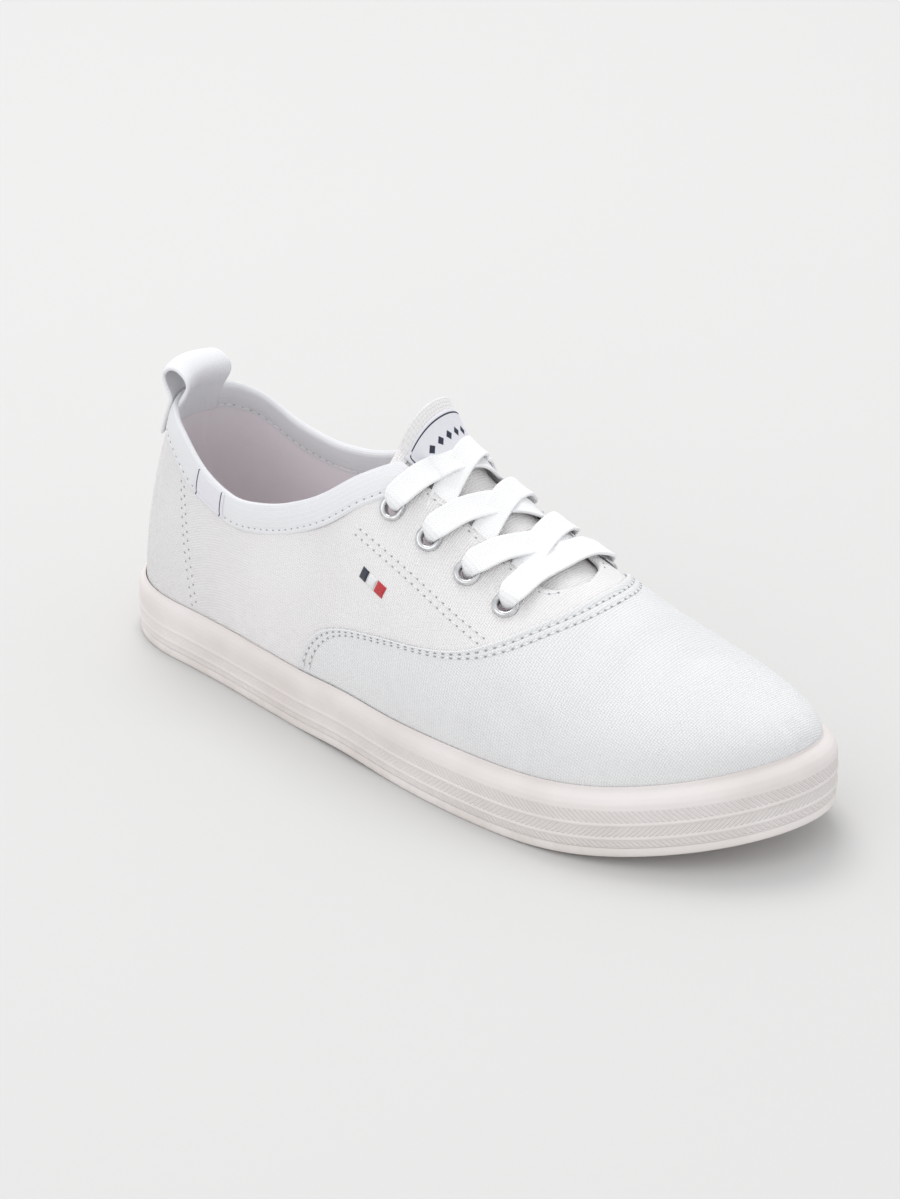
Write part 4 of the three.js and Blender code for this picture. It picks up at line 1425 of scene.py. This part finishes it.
@dataclass
class Sole:
    """Rubber foxing, thin outsole and insole."""

    edge: float = 3.4
    gap: float = 0.05
    bevel: float = 0.8
    corner: float = 0.3
    rib: float = 0.45
    tuck: float = 0.72
    sock: float = 3.6
    sock_rim: float = 2.6

    def around(self, share: float) -> tuple[float, Side]:
        """Place and side of a share round the sole, from the toe down the outer side and back."""
        turn = share * 2
        if turn <= 1:
            return (1 + math.cos(math.pi * turn)) / 2, Side.OUTER
        return (1 + math.cos(math.pi * (2 - turn))) / 2, Side.INNER

    def profile(self, at: float, v: float) -> tuple[float, float]:
        """Finds a point of the foxing's section.

        Args:
            at: place along the sole.
            v: share round the section, from the lower edge over the top to the back.

        Returns:
            Its depth from the sole's edge and its share of the foxing's height.
        """
        ledge = LAST.ledge_depth(at)
        start = (self.edge + self.gap) / LAST.foxing_height(at)
        marks = (
            (0.0, 0.0, start),
            (0.1, 0.0, 0.27),
            (0.115, -self.rib * 0.85, 0.285),
            (0.13, -self.rib, 0.3),
            (0.145, -self.rib * 0.85, 0.315),
            (0.16, 0.0, 0.33),
            (0.27, 0.0, 0.49),
            (0.285, -self.rib * 0.85, 0.505),
            (0.3, -self.rib, 0.52),
            (0.315, -self.rib * 0.85, 0.535),
            (0.33, 0.0, 0.55),
            (0.46, 0.0, 0.74),
            (0.52, 0.08 * ledge, 0.82),
            (0.58, 0.3 * ledge, 0.895),
            (0.64, 0.6 * ledge, 0.945),
            (0.7, 0.88 * ledge, 0.972),
            (0.73, ledge, 0.985),
            (0.76, ledge + 0.12, 1.012),
            (0.79, ledge + 0.4, 1.02),
            (0.82, ledge + 0.68, 1.0),
            (0.85, ledge + self.tuck, 0.96),
            (1.0, ledge + self.tuck, start),
        )
        for a, b in zip(marks, marks[1:]):
            if v <= b[0]:
                t = (v - a[0]) / (b[0] - a[0])
                return mix(a[1], b[1], t), mix(a[2], b[2], t)
        return marks[-1][1], marks[-1][2]

    def foxing(self) -> bpy.types.Object:
        """Builds the ribbed rubber band."""
        sheet = Sheet("rubber_band")
        count = 300
        lengths = [0.0]
        for a, b in zip(steps(count), steps(count)[1:]):
            gap = LAST.edge(*self.around(a), 0, 0) - LAST.edge(*self.around(b), 0, 0)
            lengths.append(lengths[-1] + gap.length)

        def place(u: float, v: float) -> Vector:
            """Point of the band."""
            at, side = self.around(u)
            depth, share = self.profile(at, v)
            return LAST.edge(at, side, depth, LAST.bottom(at) + share * LAST.foxing_height(at))

        def cloth(u: float, v: float) -> tuple[float, float]:
            """Length round the band and share of its height."""
            return lengths[round(u * count)], self.profile(self.around(u)[0], v)[1]

        sheet.lay(count, 66, place, cloth, flip=True)
        sheet.lay(count, 2, self.underside, lambda u, v: (0, 0))
        sheet.weld()
        return sheet.finish([Finishes.rubber])

    def underside(self, u: float, v: float) -> Vector:
        """Point of the band's lower face."""
        at, side = self.around(u)
        depth = v * (LAST.ledge_depth(at) + self.tuck)
        return LAST.edge(at, side, depth, LAST.bottom(at) + self.edge + self.gap)

    def outsole(self) -> bpy.types.Object:
        """Builds the bottom plate with the bed that carries the insole."""
        sheet = Sheet("bottom_rubber")

        def section(at: float) -> list[tuple[float, float]]:
            """Corners of half the section, each with its inset and height."""
            low, inset = LAST.bottom(at), LAST.bed_inset(at)
            arc = [
                (self.bevel * (1 - math.cos(a)), low + self.bevel * (1 - math.sin(a)))
                for a in (0, math.pi / 6, math.pi / 3, math.pi / 2)
            ]
            high = low + self.edge
            top = [(inset, LAST.bed(at)), (inset, high), (self.corner, high), (0, high - self.corner)]
            return [*top, *arc, (inset, low)]

        def place(u: float, v: float) -> Vector:
            """Point round the plate's section."""
            at = (1 + math.cos(math.pi * u)) / 2
            corners = section(at)
            last = len(corners) - 1
            path = v * (2 * last + 8)
            if path <= last:
                inset, height = corners[round(path)]
                return LAST.edge(at, Side.OUTER, inset, height)
            if path >= last + 4 and path <= 2 * last + 4:
                inset, height = corners[round(2 * last + 4 - path)]
                return LAST.edge(at, Side.INNER, inset, height)
            inset, height = corners[last] if path < last + 4 else corners[0]
            t = (path - last) / 4 if path < last + 4 else 1 - (path - 2 * last - 4) / 4
            outer = LAST.edge(at, Side.OUTER, inset, height)
            return outer.lerp(LAST.edge(at, Side.INNER, inset, height), t)

        sheet.lay(140, 24, place, lambda u, v: (u * LAST.length, v * 100))
        sheet.weld()
        bmesh.ops.recalc_face_normals(sheet.mesh, faces=sheet.mesh.faces[:])
        return sheet.finish([Finishes.sole])

    def insole(self) -> bpy.types.Object:
        """Builds the insole, dished a little under the heel and the ball."""
        sheet = Sheet("sock_lining")

        def place(u: float, v: float) -> Vector:
            """Point over the insole, down its rim and under it."""
            at = (1 + math.cos(math.pi * u)) / 2
            base = LAST.bed(at) + LAST.fit
            inset = LAST.bed_inset(at)
            path = v * 34
            if path <= 20:
                t = path / 20
                down = (self.sock - self.sock_rim) * (1 - ease(min(t, 1 - t) / 0.06))
                heel = math.exp(-(((at - 0.15) / 0.12) ** 2))
                ball = math.exp(-(((at - 0.68) / 0.14) ** 2))
                dish = 0.5 * math.sin(math.pi * t) ** 2 * (heel + ball)
                outer = LAST.edge(at, Side.OUTER, inset, base + self.sock - down - dish)
                return outer.lerp(LAST.edge(at, Side.INNER, inset, outer.z), t)
            if path <= 22:
                return LAST.edge(at, Side.INNER, inset, base + self.sock_rim * (1 - (path - 20) / 2))
            if path <= 32:
                inner = LAST.edge(at, Side.INNER, inset, base)
                return inner.lerp(LAST.edge(at, Side.OUTER, inset, base), (path - 22) / 10)
            return LAST.edge(at, Side.OUTER, inset, base + self.sock_rim * (path - 32) / 2)

        def cloth(u: float, v: float) -> tuple[float, float]:
            """Cloth of the insole."""
            here = place(u, v)
            return here.x, here.y

        sheet.lay(120, 34, place, cloth)
        sheet.weld()
        bmesh.ops.recalc_face_normals(sheet.mesh, faces=sheet.mesh.faces[:])
        return sheet.finish([Finishes.lining])

    def build(self) -> None:
        """Builds and dresses the sole."""
        settle(self.foxing(), "rubber", "foxing")
        settle(self.outsole(), "rubber", "outsole")
        settle(self.insole(), "lining", "insole")


@dataclass
class Tongue:
    """Canvas tongue with a bound edge."""

    top: float = 0.434
    free: float = 0.52
    root: float = 0.7
    thickness: float = 2.0
    lift: float = 13.0
    narrow: float = 1.35
    rim: float = 4.5
    under: float = 1.1

    def proud(self, at: float, reach: float) -> float:
        """Height of the tongue's face over the upper's.

        Args:
            at: place along the sole.
            reach: reach over the instep.

        Returns:
            Millimetres, below zero where the tongue lies inside the upper.
        """
        free = clamp((self.free - at) / (self.free - self.top))
        if free == 0:
            return -LAST.wall - self.under
        left, right = LAST.throat_edge(at, Side.OUTER), LAST.throat_edge(at, Side.INNER)
        off = (2 * reach - left - right) / (right - left)
        bulge = max(0.0, 1 - (self.narrow * off) ** 4)
        return -LAST.wall - self.under + self.lift * free**1.5 * bulge

    def half(self, at: float) -> float:
        """Half width over the instep."""
        t = (at - self.top) / (self.root - self.top)
        wide = mix(0.31, 0.2, t) * LAST.ball
        return wide * math.sqrt(1 - 0.5 * (1 - clamp(t / 0.07)) ** 2)

    def point(self, at: float, share: float, extra: float = 0.0) -> Vector:
        """Point of the tongue.

        Args:
            at: place along the sole.
            share: share across, from -1 at the outer edge to 1.
            extra: distance over its face.

        Returns:
            The point in millimetres.
        """
        side = Side.OUTER if share < 0 else Side.INNER
        reach = share * abs(LAST.reach(at, side, self.half(at)))
        return LAST.cross(at, reach, self.proud(at, reach) + extra)

    def where(self, u: float, v: float) -> tuple[float, float]:
        """Place and share of a point of the grid."""
        return mix(self.top, self.root, u**1.2), 2 * v - 1

    def face(self, u: float, v: float) -> Vector:
        """Point of the tongue's face, raised along its bound edge and softly creased."""
        at, share = self.where(u, v)
        off = min((1 - abs(share)) * self.half(at), (at - self.top) * LAST.length)
        rim = 0.45 * ease((self.rim - off) / 0.5) * ease(off / 0.4)
        sag = 0.35 * math.sin(14 * at * math.pi + 3 * share) * ease(u * 6) * (1 - abs(share))
        return self.point(at, share, rim + sag)

    def cloth(self, u: float, v: float) -> tuple[float, float]:
        """Cloth of the tongue."""
        at, share = self.where(u, v)
        return at * LAST.length, share * self.half(at)

    def build(self) -> None:
        """Builds and dresses the tongue."""
        sheet = Sheet("tongue_cloth")
        sheet.lay(90, 64, self.face, self.cloth)
        # The tongue uses the quarters' canvas copy, lighter and warmer: painted warm light.
        piece = sheet.finish([Finishes.quarter])
        thicken(piece, self.thickness)
        settle(piece, "canvas", "tongue")


@dataclass
class Patches:
    """Tongue label, side tab and the small embroidered mark."""

    tongue: Tongue
    label_width: float = 28
    label_length: float = 14
    label_at: float = 0.467
    label_shift: float = 2
    tab_length: float = 17
    tab_at: float = 0.17
    mark_start: tuple[float, float] = (125.0, 64.6)
    mark_end: tuple[float, float] = (136.4, 61.0)
    mark_width: float = 3.9
    wall: float = 0.5

    def label(self) -> bpy.types.Object:
        """Builds the woven label on the tongue."""
        half = self.label_length / 2 / LAST.length / 1.2
        sheet = Sheet("woven_label")

        def place(u: float, v: float) -> Vector:
            """Point of the label."""
            at = mix(self.label_at - half, self.label_at + half, u)
            across = (v - 0.5) * self.label_width - self.label_shift
            near = min(min(u, 1 - u) * self.label_length, min(v, 1 - v) * self.label_width)
            return self.tongue.point(at, across / self.tongue.half(at), 0.8 + 0.5 * ease(near / 0.5))

        def cloth(u: float, v: float) -> tuple[float, float]:
            """Millimetres from the label's middle, across and along."""
            return (v - 0.5) * self.label_width, (u - 0.5) * self.label_length

        sheet.lay(48, 60, place, cloth)
        patch = PatchFinish("label weave", self.label_width, self.label_length).material()
        piece = sheet.finish([patch])
        thicken(piece, self.wall)
        return piece

    def tab(self) -> bpy.types.Object:
        """Builds the woven tab on the side of the collar tape."""
        sheet = Sheet("woven_tab")
        binding = Binding()

        def place(u: float, v: float) -> Vector:
            """Point of the tab."""
            at = self.tab_at + (u - 0.5) * self.tab_length / LAST.length
            return binding.point(at, Side.OUTER, mix(0.03, 0.385, v), 0.4)

        def cloth(u: float, v: float) -> tuple[float, float]:
            """Millimetres from the tab's middle, along and across."""
            return (u - 0.5) * self.tab_length, (v - 0.5) * binding.width

        sheet.lay(40, 20, place, cloth)
        # The map is longer than the tab, so that only the two end lines of its frame show.
        patch = PatchFinish(
            "tab weave", self.tab_length, 40, inset=1.6, corner=0.1, line=0.32, diamonds=0
        ).material()
        piece = sheet.finish([patch])
        thicken(piece, self.wall)
        return piece

    def block(self, name: str, start: float, end: float, material: bpy.types.Material) -> bpy.types.Object:
        """Builds one embroidered block of the slanted mark on the outer quarter.

        Args:
            name: name of the piece.
            start: share of the mark's length where it starts.
            end: share where it ends.
            material: its thread.

        Returns:
            The raised block.
        """
        sheet = Sheet(name)
        edge = VampEdge(Side.OUTER)
        (x0, z0), (x1, z1) = self.mark_start, self.mark_end
        length = math.hypot(x1 - x0, z1 - z0)
        over_x, over_z = (z0 - z1) / length, (x1 - x0) / length

        def place(u: float, v: float) -> Vector:
            """Point of the satin stitch."""
            along, across = mix(start, end, u), (v - 0.5) * self.mark_width
            x = mix(x0, x1, along) + over_x * across
            z = mix(z0, z1, along) + over_z * across
            at, climb = edge.find(x, z)
            swell = 0.5 * math.sqrt(math.sin(math.pi * clamp(v))) * ease(min(u, 1 - u) * 6)
            return LAST.shell(at, Side.OUTER, climb, creased(at, climb - 1) + 0.15 + swell)

        sheet.lay(12, 10, place, lambda u, v: (u * 3, v * 12))
        piece = sheet.finish([material])
        thicken(piece, self.wall)
        return piece

    def build(self) -> None:
        """Builds and dresses the patches."""
        settle(self.label(), "tape", "tongue_label")
        settle(self.tab(), "tape", "side_tab")
        settle(self.block("mark_navy", 0.0, 0.27, Finishes.navy), "tape")
        settle(self.block("mark_white", 0.3, 0.62, Finishes.thread), "tape")
        settle(self.block("mark_red", 0.65, 1.0, Finishes.red), "tape")


@dataclass
class Laces:
    """Flat white laces: a bar over the bottom eyelets and three crossings above it."""

    tongue: Tongue
    width: float = 9.4
    thickness: float = 1.2
    pinch: float = 3.6
    neck: float = 3.6
    flare: float = 4.4
    rest: float = 0.15
    over: float = 1.3
    bore_depth: float = -4.6
    samples: int = 72

    def strip(
        self,
        name: str,
        ends: tuple[Seat, Seat],
        knots: Sequence[tuple[float, float]],
        slack: tuple[float, float],
        lift: float,
    ) -> bpy.types.Object:
        """Lays one run of lace straight over the instep, down on the tongue where it can sink.

        Args:
            name: name of the piece.
            ends: seats at its start and its end.
            knots: distance from the crest line and height over the upper, from start to end.
            slack: shares of the way between the seats' places at the first and last knot.
            lift: height over the tongue at the middle, to clear a run below.

        Returns:
            The lace, narrowed where it goes through an eyelet.
        """
        gone = [0.0]
        for (d0, h0), (d1, h1) in zip(knots, knots[1:]):
            gone.append(gone[-1] + math.hypot(d1 - d0, h1 - h0))
        shares = [g / gone[-1] for g in gone]
        distance = Curve(*[(t, d) for t, (d, _) in zip(shares, knots)])
        height = Curve(*[(t, h) for t, (_, h) in zip(shares, knots)])
        first, last = knots[0][0], knots[-1][0]

        def spot(t: float) -> tuple[float, float, float]:
            """Place, reach and height of a point on the middle of the lace."""
            off = distance.at(t)
            share = mix(slack[0], slack[1], (off - first) / (last - first))
            at = mix(ends[0].at, ends[1].at, share)
            side = Side.OUTER if off < 0 else Side.INNER
            reach = LAST.reach(round(at, 4), side, abs(off) + 1e-4)
            rest = self.tongue.proud(at, reach) + self.rest + lift * math.exp(-((off / 7) ** 2))
            return at, reach, max(height.at(t), rest) if abs(off) < 14 else height.at(t)

        spots = [spot(t) for t in steps(self.samples)]
        outs = [LAST.normal(round(at, 3), round(reach, 2)) for at, reach, _ in spots]
        points = [LAST.cross(at, reach) + out * rise for (at, reach, rise), out in zip(spots, outs)]
        for _ in range(2):
            inner = [(a + 2 * b + c) / 4 for a, b, c in zip(points, points[1:], points[2:])]
            points = [points[0], *inner, points[-1]]
        run = [0.0]
        for a, b in zip(points, points[1:]):
            run.append(run[-1] + (b - a).length)
        sheet = Sheet(name)

        def place(u: float, v: float) -> Vector:
            """Point of the lace's face."""
            i = round(u * self.samples)
            along = (points[min(self.samples, i + 1)] - points[max(0, i - 1)]).normalized()
            across = outs[i].cross(along)
            across = across.normalized() if across.length > 0.05 else Vector((1, 0, 0))
            face = along.cross(across).normalized()
            near = [run[i]] if knots[0][1] == self.bore_depth else []
            near += [run[-1] - run[i]] if knots[-1][1] == self.bore_depth else []
            room = ease((min(near) - self.neck) / self.flare) if near else 1.0
            off = (v - 0.5) * mix(self.pinch, self.width, room)
            cup = mix(-1.2, 0.25, room) * (2 * abs(v - 0.5)) ** 2
            return points[i] + across * off + face * (cup + self.thickness)

        def cloth(u: float, v: float) -> tuple[float, float]:
            """Length along the lace and place across it."""
            return run[round(u * self.samples)], v * self.width

        sheet.lay(self.samples, 10, place, cloth, flip=True)
        piece = sheet.finish([Finishes.lace])
        thicken(piece, self.thickness)
        soften(piece)
        return piece

    def seat(self, row: int, side: Side) -> Seat:
        """Seat of one eyelet."""
        return next(s for s in Eyelets.seats() if s.row == row and s.side is side)

    def entry(self, seat: Seat) -> list[tuple[float, float]]:
        """Knots of the way from inside the throat into an eyelet.

        Args:
            seat: seat of the eyelet.

        Returns:
            Pairs of a distance from the crest line and a height over the upper.
        """
        edge = LAST.throat_half(seat.at, seat.side)
        goal = edge + LAST.eyelet_margin
        rows = ((edge - 8, -1.6), (edge, 0.2), (edge + 4, 0.5), (goal - 4.6, 1.2), (goal - 2.3, 1.3))
        rows += ((goal - 1.6, -0.4), (goal - 1.3, self.bore_depth))
        return [(seat.side.value * d, h) for d, h in rows]

    def bar(self) -> bpy.types.Object:
        """Builds the straight bar over the bottom eyelets."""
        a, b = self.seat(4, Side.OUTER), self.seat(4, Side.INNER)
        knots = [*reversed(self.entry(a)), (0.0, -2.4), *self.entry(b)]
        return self.strip("lace_straight", (a, b), knots, (0.0, 1.0), 0.0)

    def run(self, row: int, side: Side) -> bpy.types.Object:
        """Builds one run that comes up beside the tongue and crosses to an eyelet.

        Args:
            row: row of the eyelet that it enters, 1 at the collar.
            side: side of that eyelet.

        Returns:
            The lace.
        """
        goal, source = self.seat(row, side), self.seat(row + 1, Side(-side.value))
        edge = LAST.throat_half(source.at, source.side)
        start = [(-side.value * d, h) for d, h in ((edge + 8, -2.9), (edge + 1, -2.7), (edge - 6, -2.5))]
        knots = [*start, (0.0, -2.4), *self.entry(goal)]
        name, lift = ("lace_over", self.over) if side is Side.INNER else ("lace_under", 0.0)
        return self.strip(f"{name}_{row}", (source, goal), knots, (0.05, 1.0), lift)

    def build(self) -> None:
        """Builds and dresses the laces."""
        settle(self.bar(), "lace", "lace_bar")
        for row in (1, 2, 3):
            for side in Side:
                nodes = (f"lace_crossing_{row}",) if side is Side.INNER else ()
                settle(self.run(row, side), "lace", *nodes)


@dataclass
class PullLoop:
    """Tape loop over the back of the collar."""

    width: float = 22
    thickness: float = 1.4
    rise: float = 14
    spread: float = 16
    seam: float = 1.15
    leg: float = 13.4
    inner_leg: float = 10.4
    columns: int = 22

    def wall_point(self, y: float, height: float, proud: float) -> Vector:
        """Point near the back of the heel.

        Args:
            y: sideways place.
            height: height over the floor.
            proud: distance out of the upper's face.

        Returns:
            The point in millimetres.
        """
        side = Side.OUTER if y < 0 else Side.INNER
        low, high = 0.0, 0.12
        at = climb = 0.0
        for _ in range(14):
            at = (low + high) / 2
            below, above = 0.0, 0.8
            for _ in range(14):
                climb = (below + above) / 2
                if LAST.shell(at, side, climb, proud).z < height:
                    below = climb
                else:
                    above = climb
            if abs(LAST.shell(at, side, climb, proud).y) < abs(y):
                low = at
            else:
                high = at
        return Vector((LAST.shell(at, side, climb, proud).x, y, height))

    def build(self) -> None:
        """Builds and dresses the loop."""
        top = LAST.heel + 1
        ends = (LAST.heel - self.leg, LAST.heel - self.inner_leg)
        outside = self.seam + self.thickness
        inside = -LAST.wall - self.seam
        lines = [(s - 0.5) * self.width for s in steps(self.columns)]
        outer = [self.wall_point(y, top, outside).x for y in lines]
        inner = [self.wall_point(y, top, inside).x for y in lines]
        legs = {}
        for i, y in enumerate(lines):
            for k in range(7):
                for leg, proud in enumerate((outside, inside)):
                    legs[i, k, leg] = self.wall_point(y, mix(ends[leg], top, k / 6), proud).x
        sheet = Sheet("heel_loop")

        def on_leg(i: int, leg: int, share: float) -> Vector:
            """Point of a leg, from its end to the collar: leg 0 is outside and leg 1 inside."""
            k = min(5, int(share * 6))
            x = mix(legs[i, k, leg], legs[i, k + 1, leg], share * 6 - k)
            return Vector((x, lines[i], mix(ends[leg], top, share)))

        def place(u: float, v: float) -> Vector:
            """Point of the tape's outer face, from the outside's end over to the inside's."""
            i = round(v * self.columns)
            path = u * 36
            if path <= 12:
                return on_leg(i, 0, path / 12)
            if path >= 24:
                return on_leg(i, 1, (36 - path) / 12)
            turn = math.pi * (path - 12) / 12
            middle, half = (outer[i] + inner[i]) / 2, (inner[i] - outer[i]) / 2
            round_out = mix(half, self.spread / 2 + self.thickness, min(1, 1.5 * math.sin(turn)))
            dent = 0.5 * math.sin(turn) * math.cos(math.pi * (v - 0.5)) ** 2
            height = top + math.sin(turn) * (self.rise - 1 + dent - 0.5)
            return Vector((middle - math.cos(turn) * round_out, lines[i], height))

        sheet.lay(36, self.columns, place, lambda u, v: (u * 70, v * self.width))
        piece = sheet.finish([Finishes.tape])
        thicken(piece, self.thickness)
        soften(piece)
        settle(piece, "tape", "pull_loop")


@dataclass
class Stitching:
    """Rows of stitches in white thread, with a dark disc of painted shade in each hole between them."""

    length: float = 2.3
    pitch: float = 3.1
    radius: float = 0.36
    # Half length, width and height of the dark disc of painted shade at each stitch hole.
    hole: tuple[float, float, float] = (0.42, 0.34, 0.15)

    def __post_init__(self) -> None:
        """Starts the list of sewn rows."""
        self.rows: list[bpy.types.Mesh] = []

    def row(self, path: Sequence[tuple[Vector, Vector]], sunk: float = 0.1) -> None:
        """Sews along a path.

        Args:
            path: points in millimetres, each with the direction out of the cloth.
            sunk: how deep the stitch lies.
        """
        mesh = bmesh.new()
        stitch = (self.length / 2, self.radius, self.radius * 0.85)
        gone, goal = 0.0, self.pitch / 2
        for (a, out), (b, _) in zip(path, path[1:]):
            span = (b - a).length
            while span > 0 and gone + span >= goal:
                here = a.lerp(b, (goal - gone) / span) - out * sunk
                self.bead(mesh, here, b - a, out, stitch, 0)
                # Between the stitches, a dark disc paints the shade in the hole that the needle left.
                hole = here + (b - a).normalized() * self.pitch / 2 + out * (sunk + 0.02)
                self.bead(mesh, hole, b - a, out, self.hole, 1)
                goal += self.pitch
            gone += span
        self.rows.append(bpy.data.meshes.new("row"))
        mesh.to_mesh(self.rows[-1])
        mesh.free()

    def bead(
        self,
        mesh: bmesh.types.BMesh,
        spot: Vector,
        along: Vector,
        out: Vector,
        size: tuple[float, float, float],
        material: int,
    ) -> None:
        """Adds one stitch or one dark disc of painted shade at a stitch hole.

        Args:
            mesh: mesh of its row.
            spot: its middle in millimetres.
            along: direction of the row.
            out: direction out of the cloth.
            size: half its length, width and height.
            material: index of its material.
        """
        ahead = along.normalized()
        up = (out - ahead * out.dot(ahead)).normalized()
        turn = Matrix((ahead, up.cross(ahead), up)).transposed().to_4x4()
        scale = Matrix.Diagonal((*[part * MM for part in size], 1))
        pose = Matrix.Translation(placed(spot)) @ turn @ scale
        made = bmesh.ops.create_uvsphere(mesh, u_segments=6, v_segments=5, radius=1, matrix=pose)
        for face in {face for v in made["verts"] for face in v.link_faces}:
            face.material_index = material

    def over(self, spots: Sequence[tuple[float, float, float]]) -> list[tuple[Vector, Vector]]:
        """Path over the upper from places, reaches and distances out of it."""
        return [
            (LAST.cross(at, reach, proud), LAST.normal(round(at, 3), round(clamp(reach, -0.97, 0.97), 2)))
            for at, reach, proud in spots
        ]

    def vamp(self) -> None:
        """Two rows along the folded edge of the vamp."""
        for side in Side:
            edge = VampEdge(side)
            for off in VAMP_ROWS:
                spots = []
                for t in steps(90):
                    at, climb = edge.at(t)
                    span = (1 - at) * LAST.length
                    along = off / span
                    place, rise = mix(at, 1, along), mix(climb, t, along)
                    if rise < 0.012:
                        continue
                    reach = side.value * (1 - rise)
                    spots.append((place, reach, 0.95 + ease(rise * 8) * creased(place, reach)))
                self.row(self.over(spots))

    def facing(self) -> None:
        """Rows along the throat's edge and below the eyelets."""
        for side in Side:
            for off, start, end in ((2.0, 0.482, 0.664), (26.0, 0.42, 0.626), (28.6, 0.415, 0.62)):
                spots = []
                for t in steps(60):
                    at = mix(start, end, t)
                    reach = LAST.reach(at, side, LAST.throat_half(at, side) + off)
                    spots.append((at, reach, creased(at, reach) + 0.05))
                self.row(self.over(spots), 0.12)

    def collar(self) -> None:
        """Rows near the lower edge of the collar tape, outside and inside."""
        binding = Binding()
        groove = binding.face * binding.groove
        for share, sign in ((groove, 1), (1 - groove, -1)):
            path = []
            for t in steps(170):
                turn = 2 * t - 1
                side = Side.OUTER if turn < 0 else Side.INNER
                at = 0.47 * abs(turn) ** 1.15
                low, top = binding.span(at, side)
                if top - low < 0.03:
                    continue
                reach = side.value * (1 - mix(low, top, binding.groove))
                out = LAST.normal(round(max(at, 0.012), 3), round(reach, 2)) * sign
                path.append((binding.point(at, side, share), out))
            self.row(path, 0.0)

    def counter(self) -> None:
        """Two rows down each side of the heel."""
        for side in Side:
            for shift in (0.0, 0.009):
                spots = []
                for t in steps(30):
                    climb = mix(LAST.limit(0.1 + shift, side, 9.6), 0.03, t)
                    at = mix(0.1, 0.148, t**0.8) + shift
                    reach = side.value * (1 - climb)
                    spots.append((at, reach, creased(at, reach) + 0.05))
                self.row(self.over(spots), 0.12)

    def tongue(self, tongue: Tongue) -> None:
        """A row along the bound edge of the tongue."""
        path = []
        inside = 1 - tongue.rim / 30
        for t in steps(24):
            path.append((mix(tongue.free, tongue.top + 0.018, t), -inside))
        for t in steps(20):
            path.append((tongue.top + 0.016, mix(-inside, inside, t)))
        for t in steps(24):
            path.append((mix(tongue.top + 0.018, tongue.free, t), inside))
        self.row([(tongue.point(at, share, 0.25), Vector((-0.5, 0, 0.85))) for at, share in path], 0.0)

    def build(self, tongue: Tongue) -> None:
        """Sews all rows."""
        self.vamp()
        self.facing()
        self.collar()
        self.counter()
        self.tongue(tongue)
        mesh = bmesh.new()
        for row in self.rows:
            mesh.from_mesh(row)
            bpy.data.meshes.remove(row)
        cloth = mesh.loops.layers.uv.new("cloth")
        for face in mesh.faces:
            face.smooth = True
            for loop in face.loops:
                loop[cloth].uv = (loop.vert.co.x / MM, (loop.vert.co.y + loop.vert.co.z) / MM)
        # The second material paints shade in the stitch holes.
        settle(add_piece("stitches", mesh, [Finishes.thread, Finishes.hole]), "tape")


@dataclass
class Studio:
    """Pale floor, soft light and the camera at the photograph's angle."""

    camera_at: tuple[float, float, float] = (0.9123, -0.9407, 0.6939)
    aim: tuple[float, float, float] = (0.09, 0.0, 0.045)
    lens: float = 128.0
    lit: tuple[float, float, float] = (0.08, 0.0, 0.04)

    def camera(self) -> None:
        """Places the camera."""
        data = bpy.data.cameras.new("camera")
        data.sensor_width = 36
        data.lens = self.lens
        camera = bpy.data.objects.new("camera", data)
        camera.location = self.camera_at
        look = Vector(self.aim) - Vector(self.camera_at)
        camera.rotation_euler = look.to_track_quat("-Z", "Y").to_euler()
        bpy.context.scene.collection.objects.link(camera)
        bpy.context.scene.camera = camera

    def floor(self) -> None:
        """Lays a wide pale floor."""
        mesh = bmesh.new()
        bmesh.ops.create_grid(mesh, x_segments=2, y_segments=2, size=6)
        material, g, shader = new_material("pale floor")
        place = g.node("TexCoord").outputs["Object"]
        tone = g.blend(g.noise(place, 3.0), (0.655, 0.648, 0.64, 1), (0.67, 0.663, 0.655, 1))
        g.fill(shader, {"Base Color": tone, "Roughness": 0.75, "Specular IOR Level": 0.2})
        add_piece("floor", mesh, [material])

    def lamp(
        self,
        name: str,
        spot: tuple[float, float, float],
        size: float,
        power: float,
        tint: tuple[float, float, float],
    ) -> None:
        """Hangs one soft lamp that faces the shoe.

        Args:
            name: name of the lamp.
            spot: its place in metres.
            size: width of its panel.
            power: watts.
            tint: colour of its light.
        """
        data = bpy.data.lights.new(name, "AREA")
        data.shape = "DISK"
        data.size = size
        data.energy = power
        data.color = tint
        lamp = bpy.data.objects.new(name, data)
        lamp.location = spot
        look = Vector(self.lit) - Vector(spot)
        lamp.rotation_euler = look.to_track_quat("-Z", "Y").to_euler()
        bpy.context.scene.collection.objects.link(lamp)

    def light(self) -> None:
        """Lights the scene with a bright room and two soft lamps."""
        scene = bpy.context.scene
        world = bpy.data.worlds.new("room")
        world.use_nodes = True
        back = world.node_tree.nodes["Background"]
        back.inputs["Color"].default_value = (0.97, 0.985, 1, 1)
        back.inputs["Strength"].default_value = 0.95
        scene.world = world
        self.lamp("key", (-0.55, 0.5, 1.7), 1.0, 12, (1, 0.99, 0.98))
        self.lamp("fill", (0.2, -1.5, 1.0), 1.6, 4, (1, 0.985, 0.97))
        scene.view_settings.view_transform = "Standard"
        scene.view_settings.look = "None"

    def build(self) -> None:
        """Builds the studio."""
        self.camera()
        self.floor()
        self.light()


def main() -> None:
    """Builds the shoe in order."""
    logging.basicConfig(level=logging.INFO, format="%(message)s")
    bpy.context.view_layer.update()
    Studio().build()
    Groups.build()
    Finishes.build()
    Sole().build()
    Upper().build()
    Binding().build()
    tongue = Tongue()
    tongue.build()
    Patches(tongue).build()
    Eyelets().build()
    Laces(tongue).build()
    PullLoop().build()
    Stitching().build(tongue)


if __name__ == "__main__":
    main()
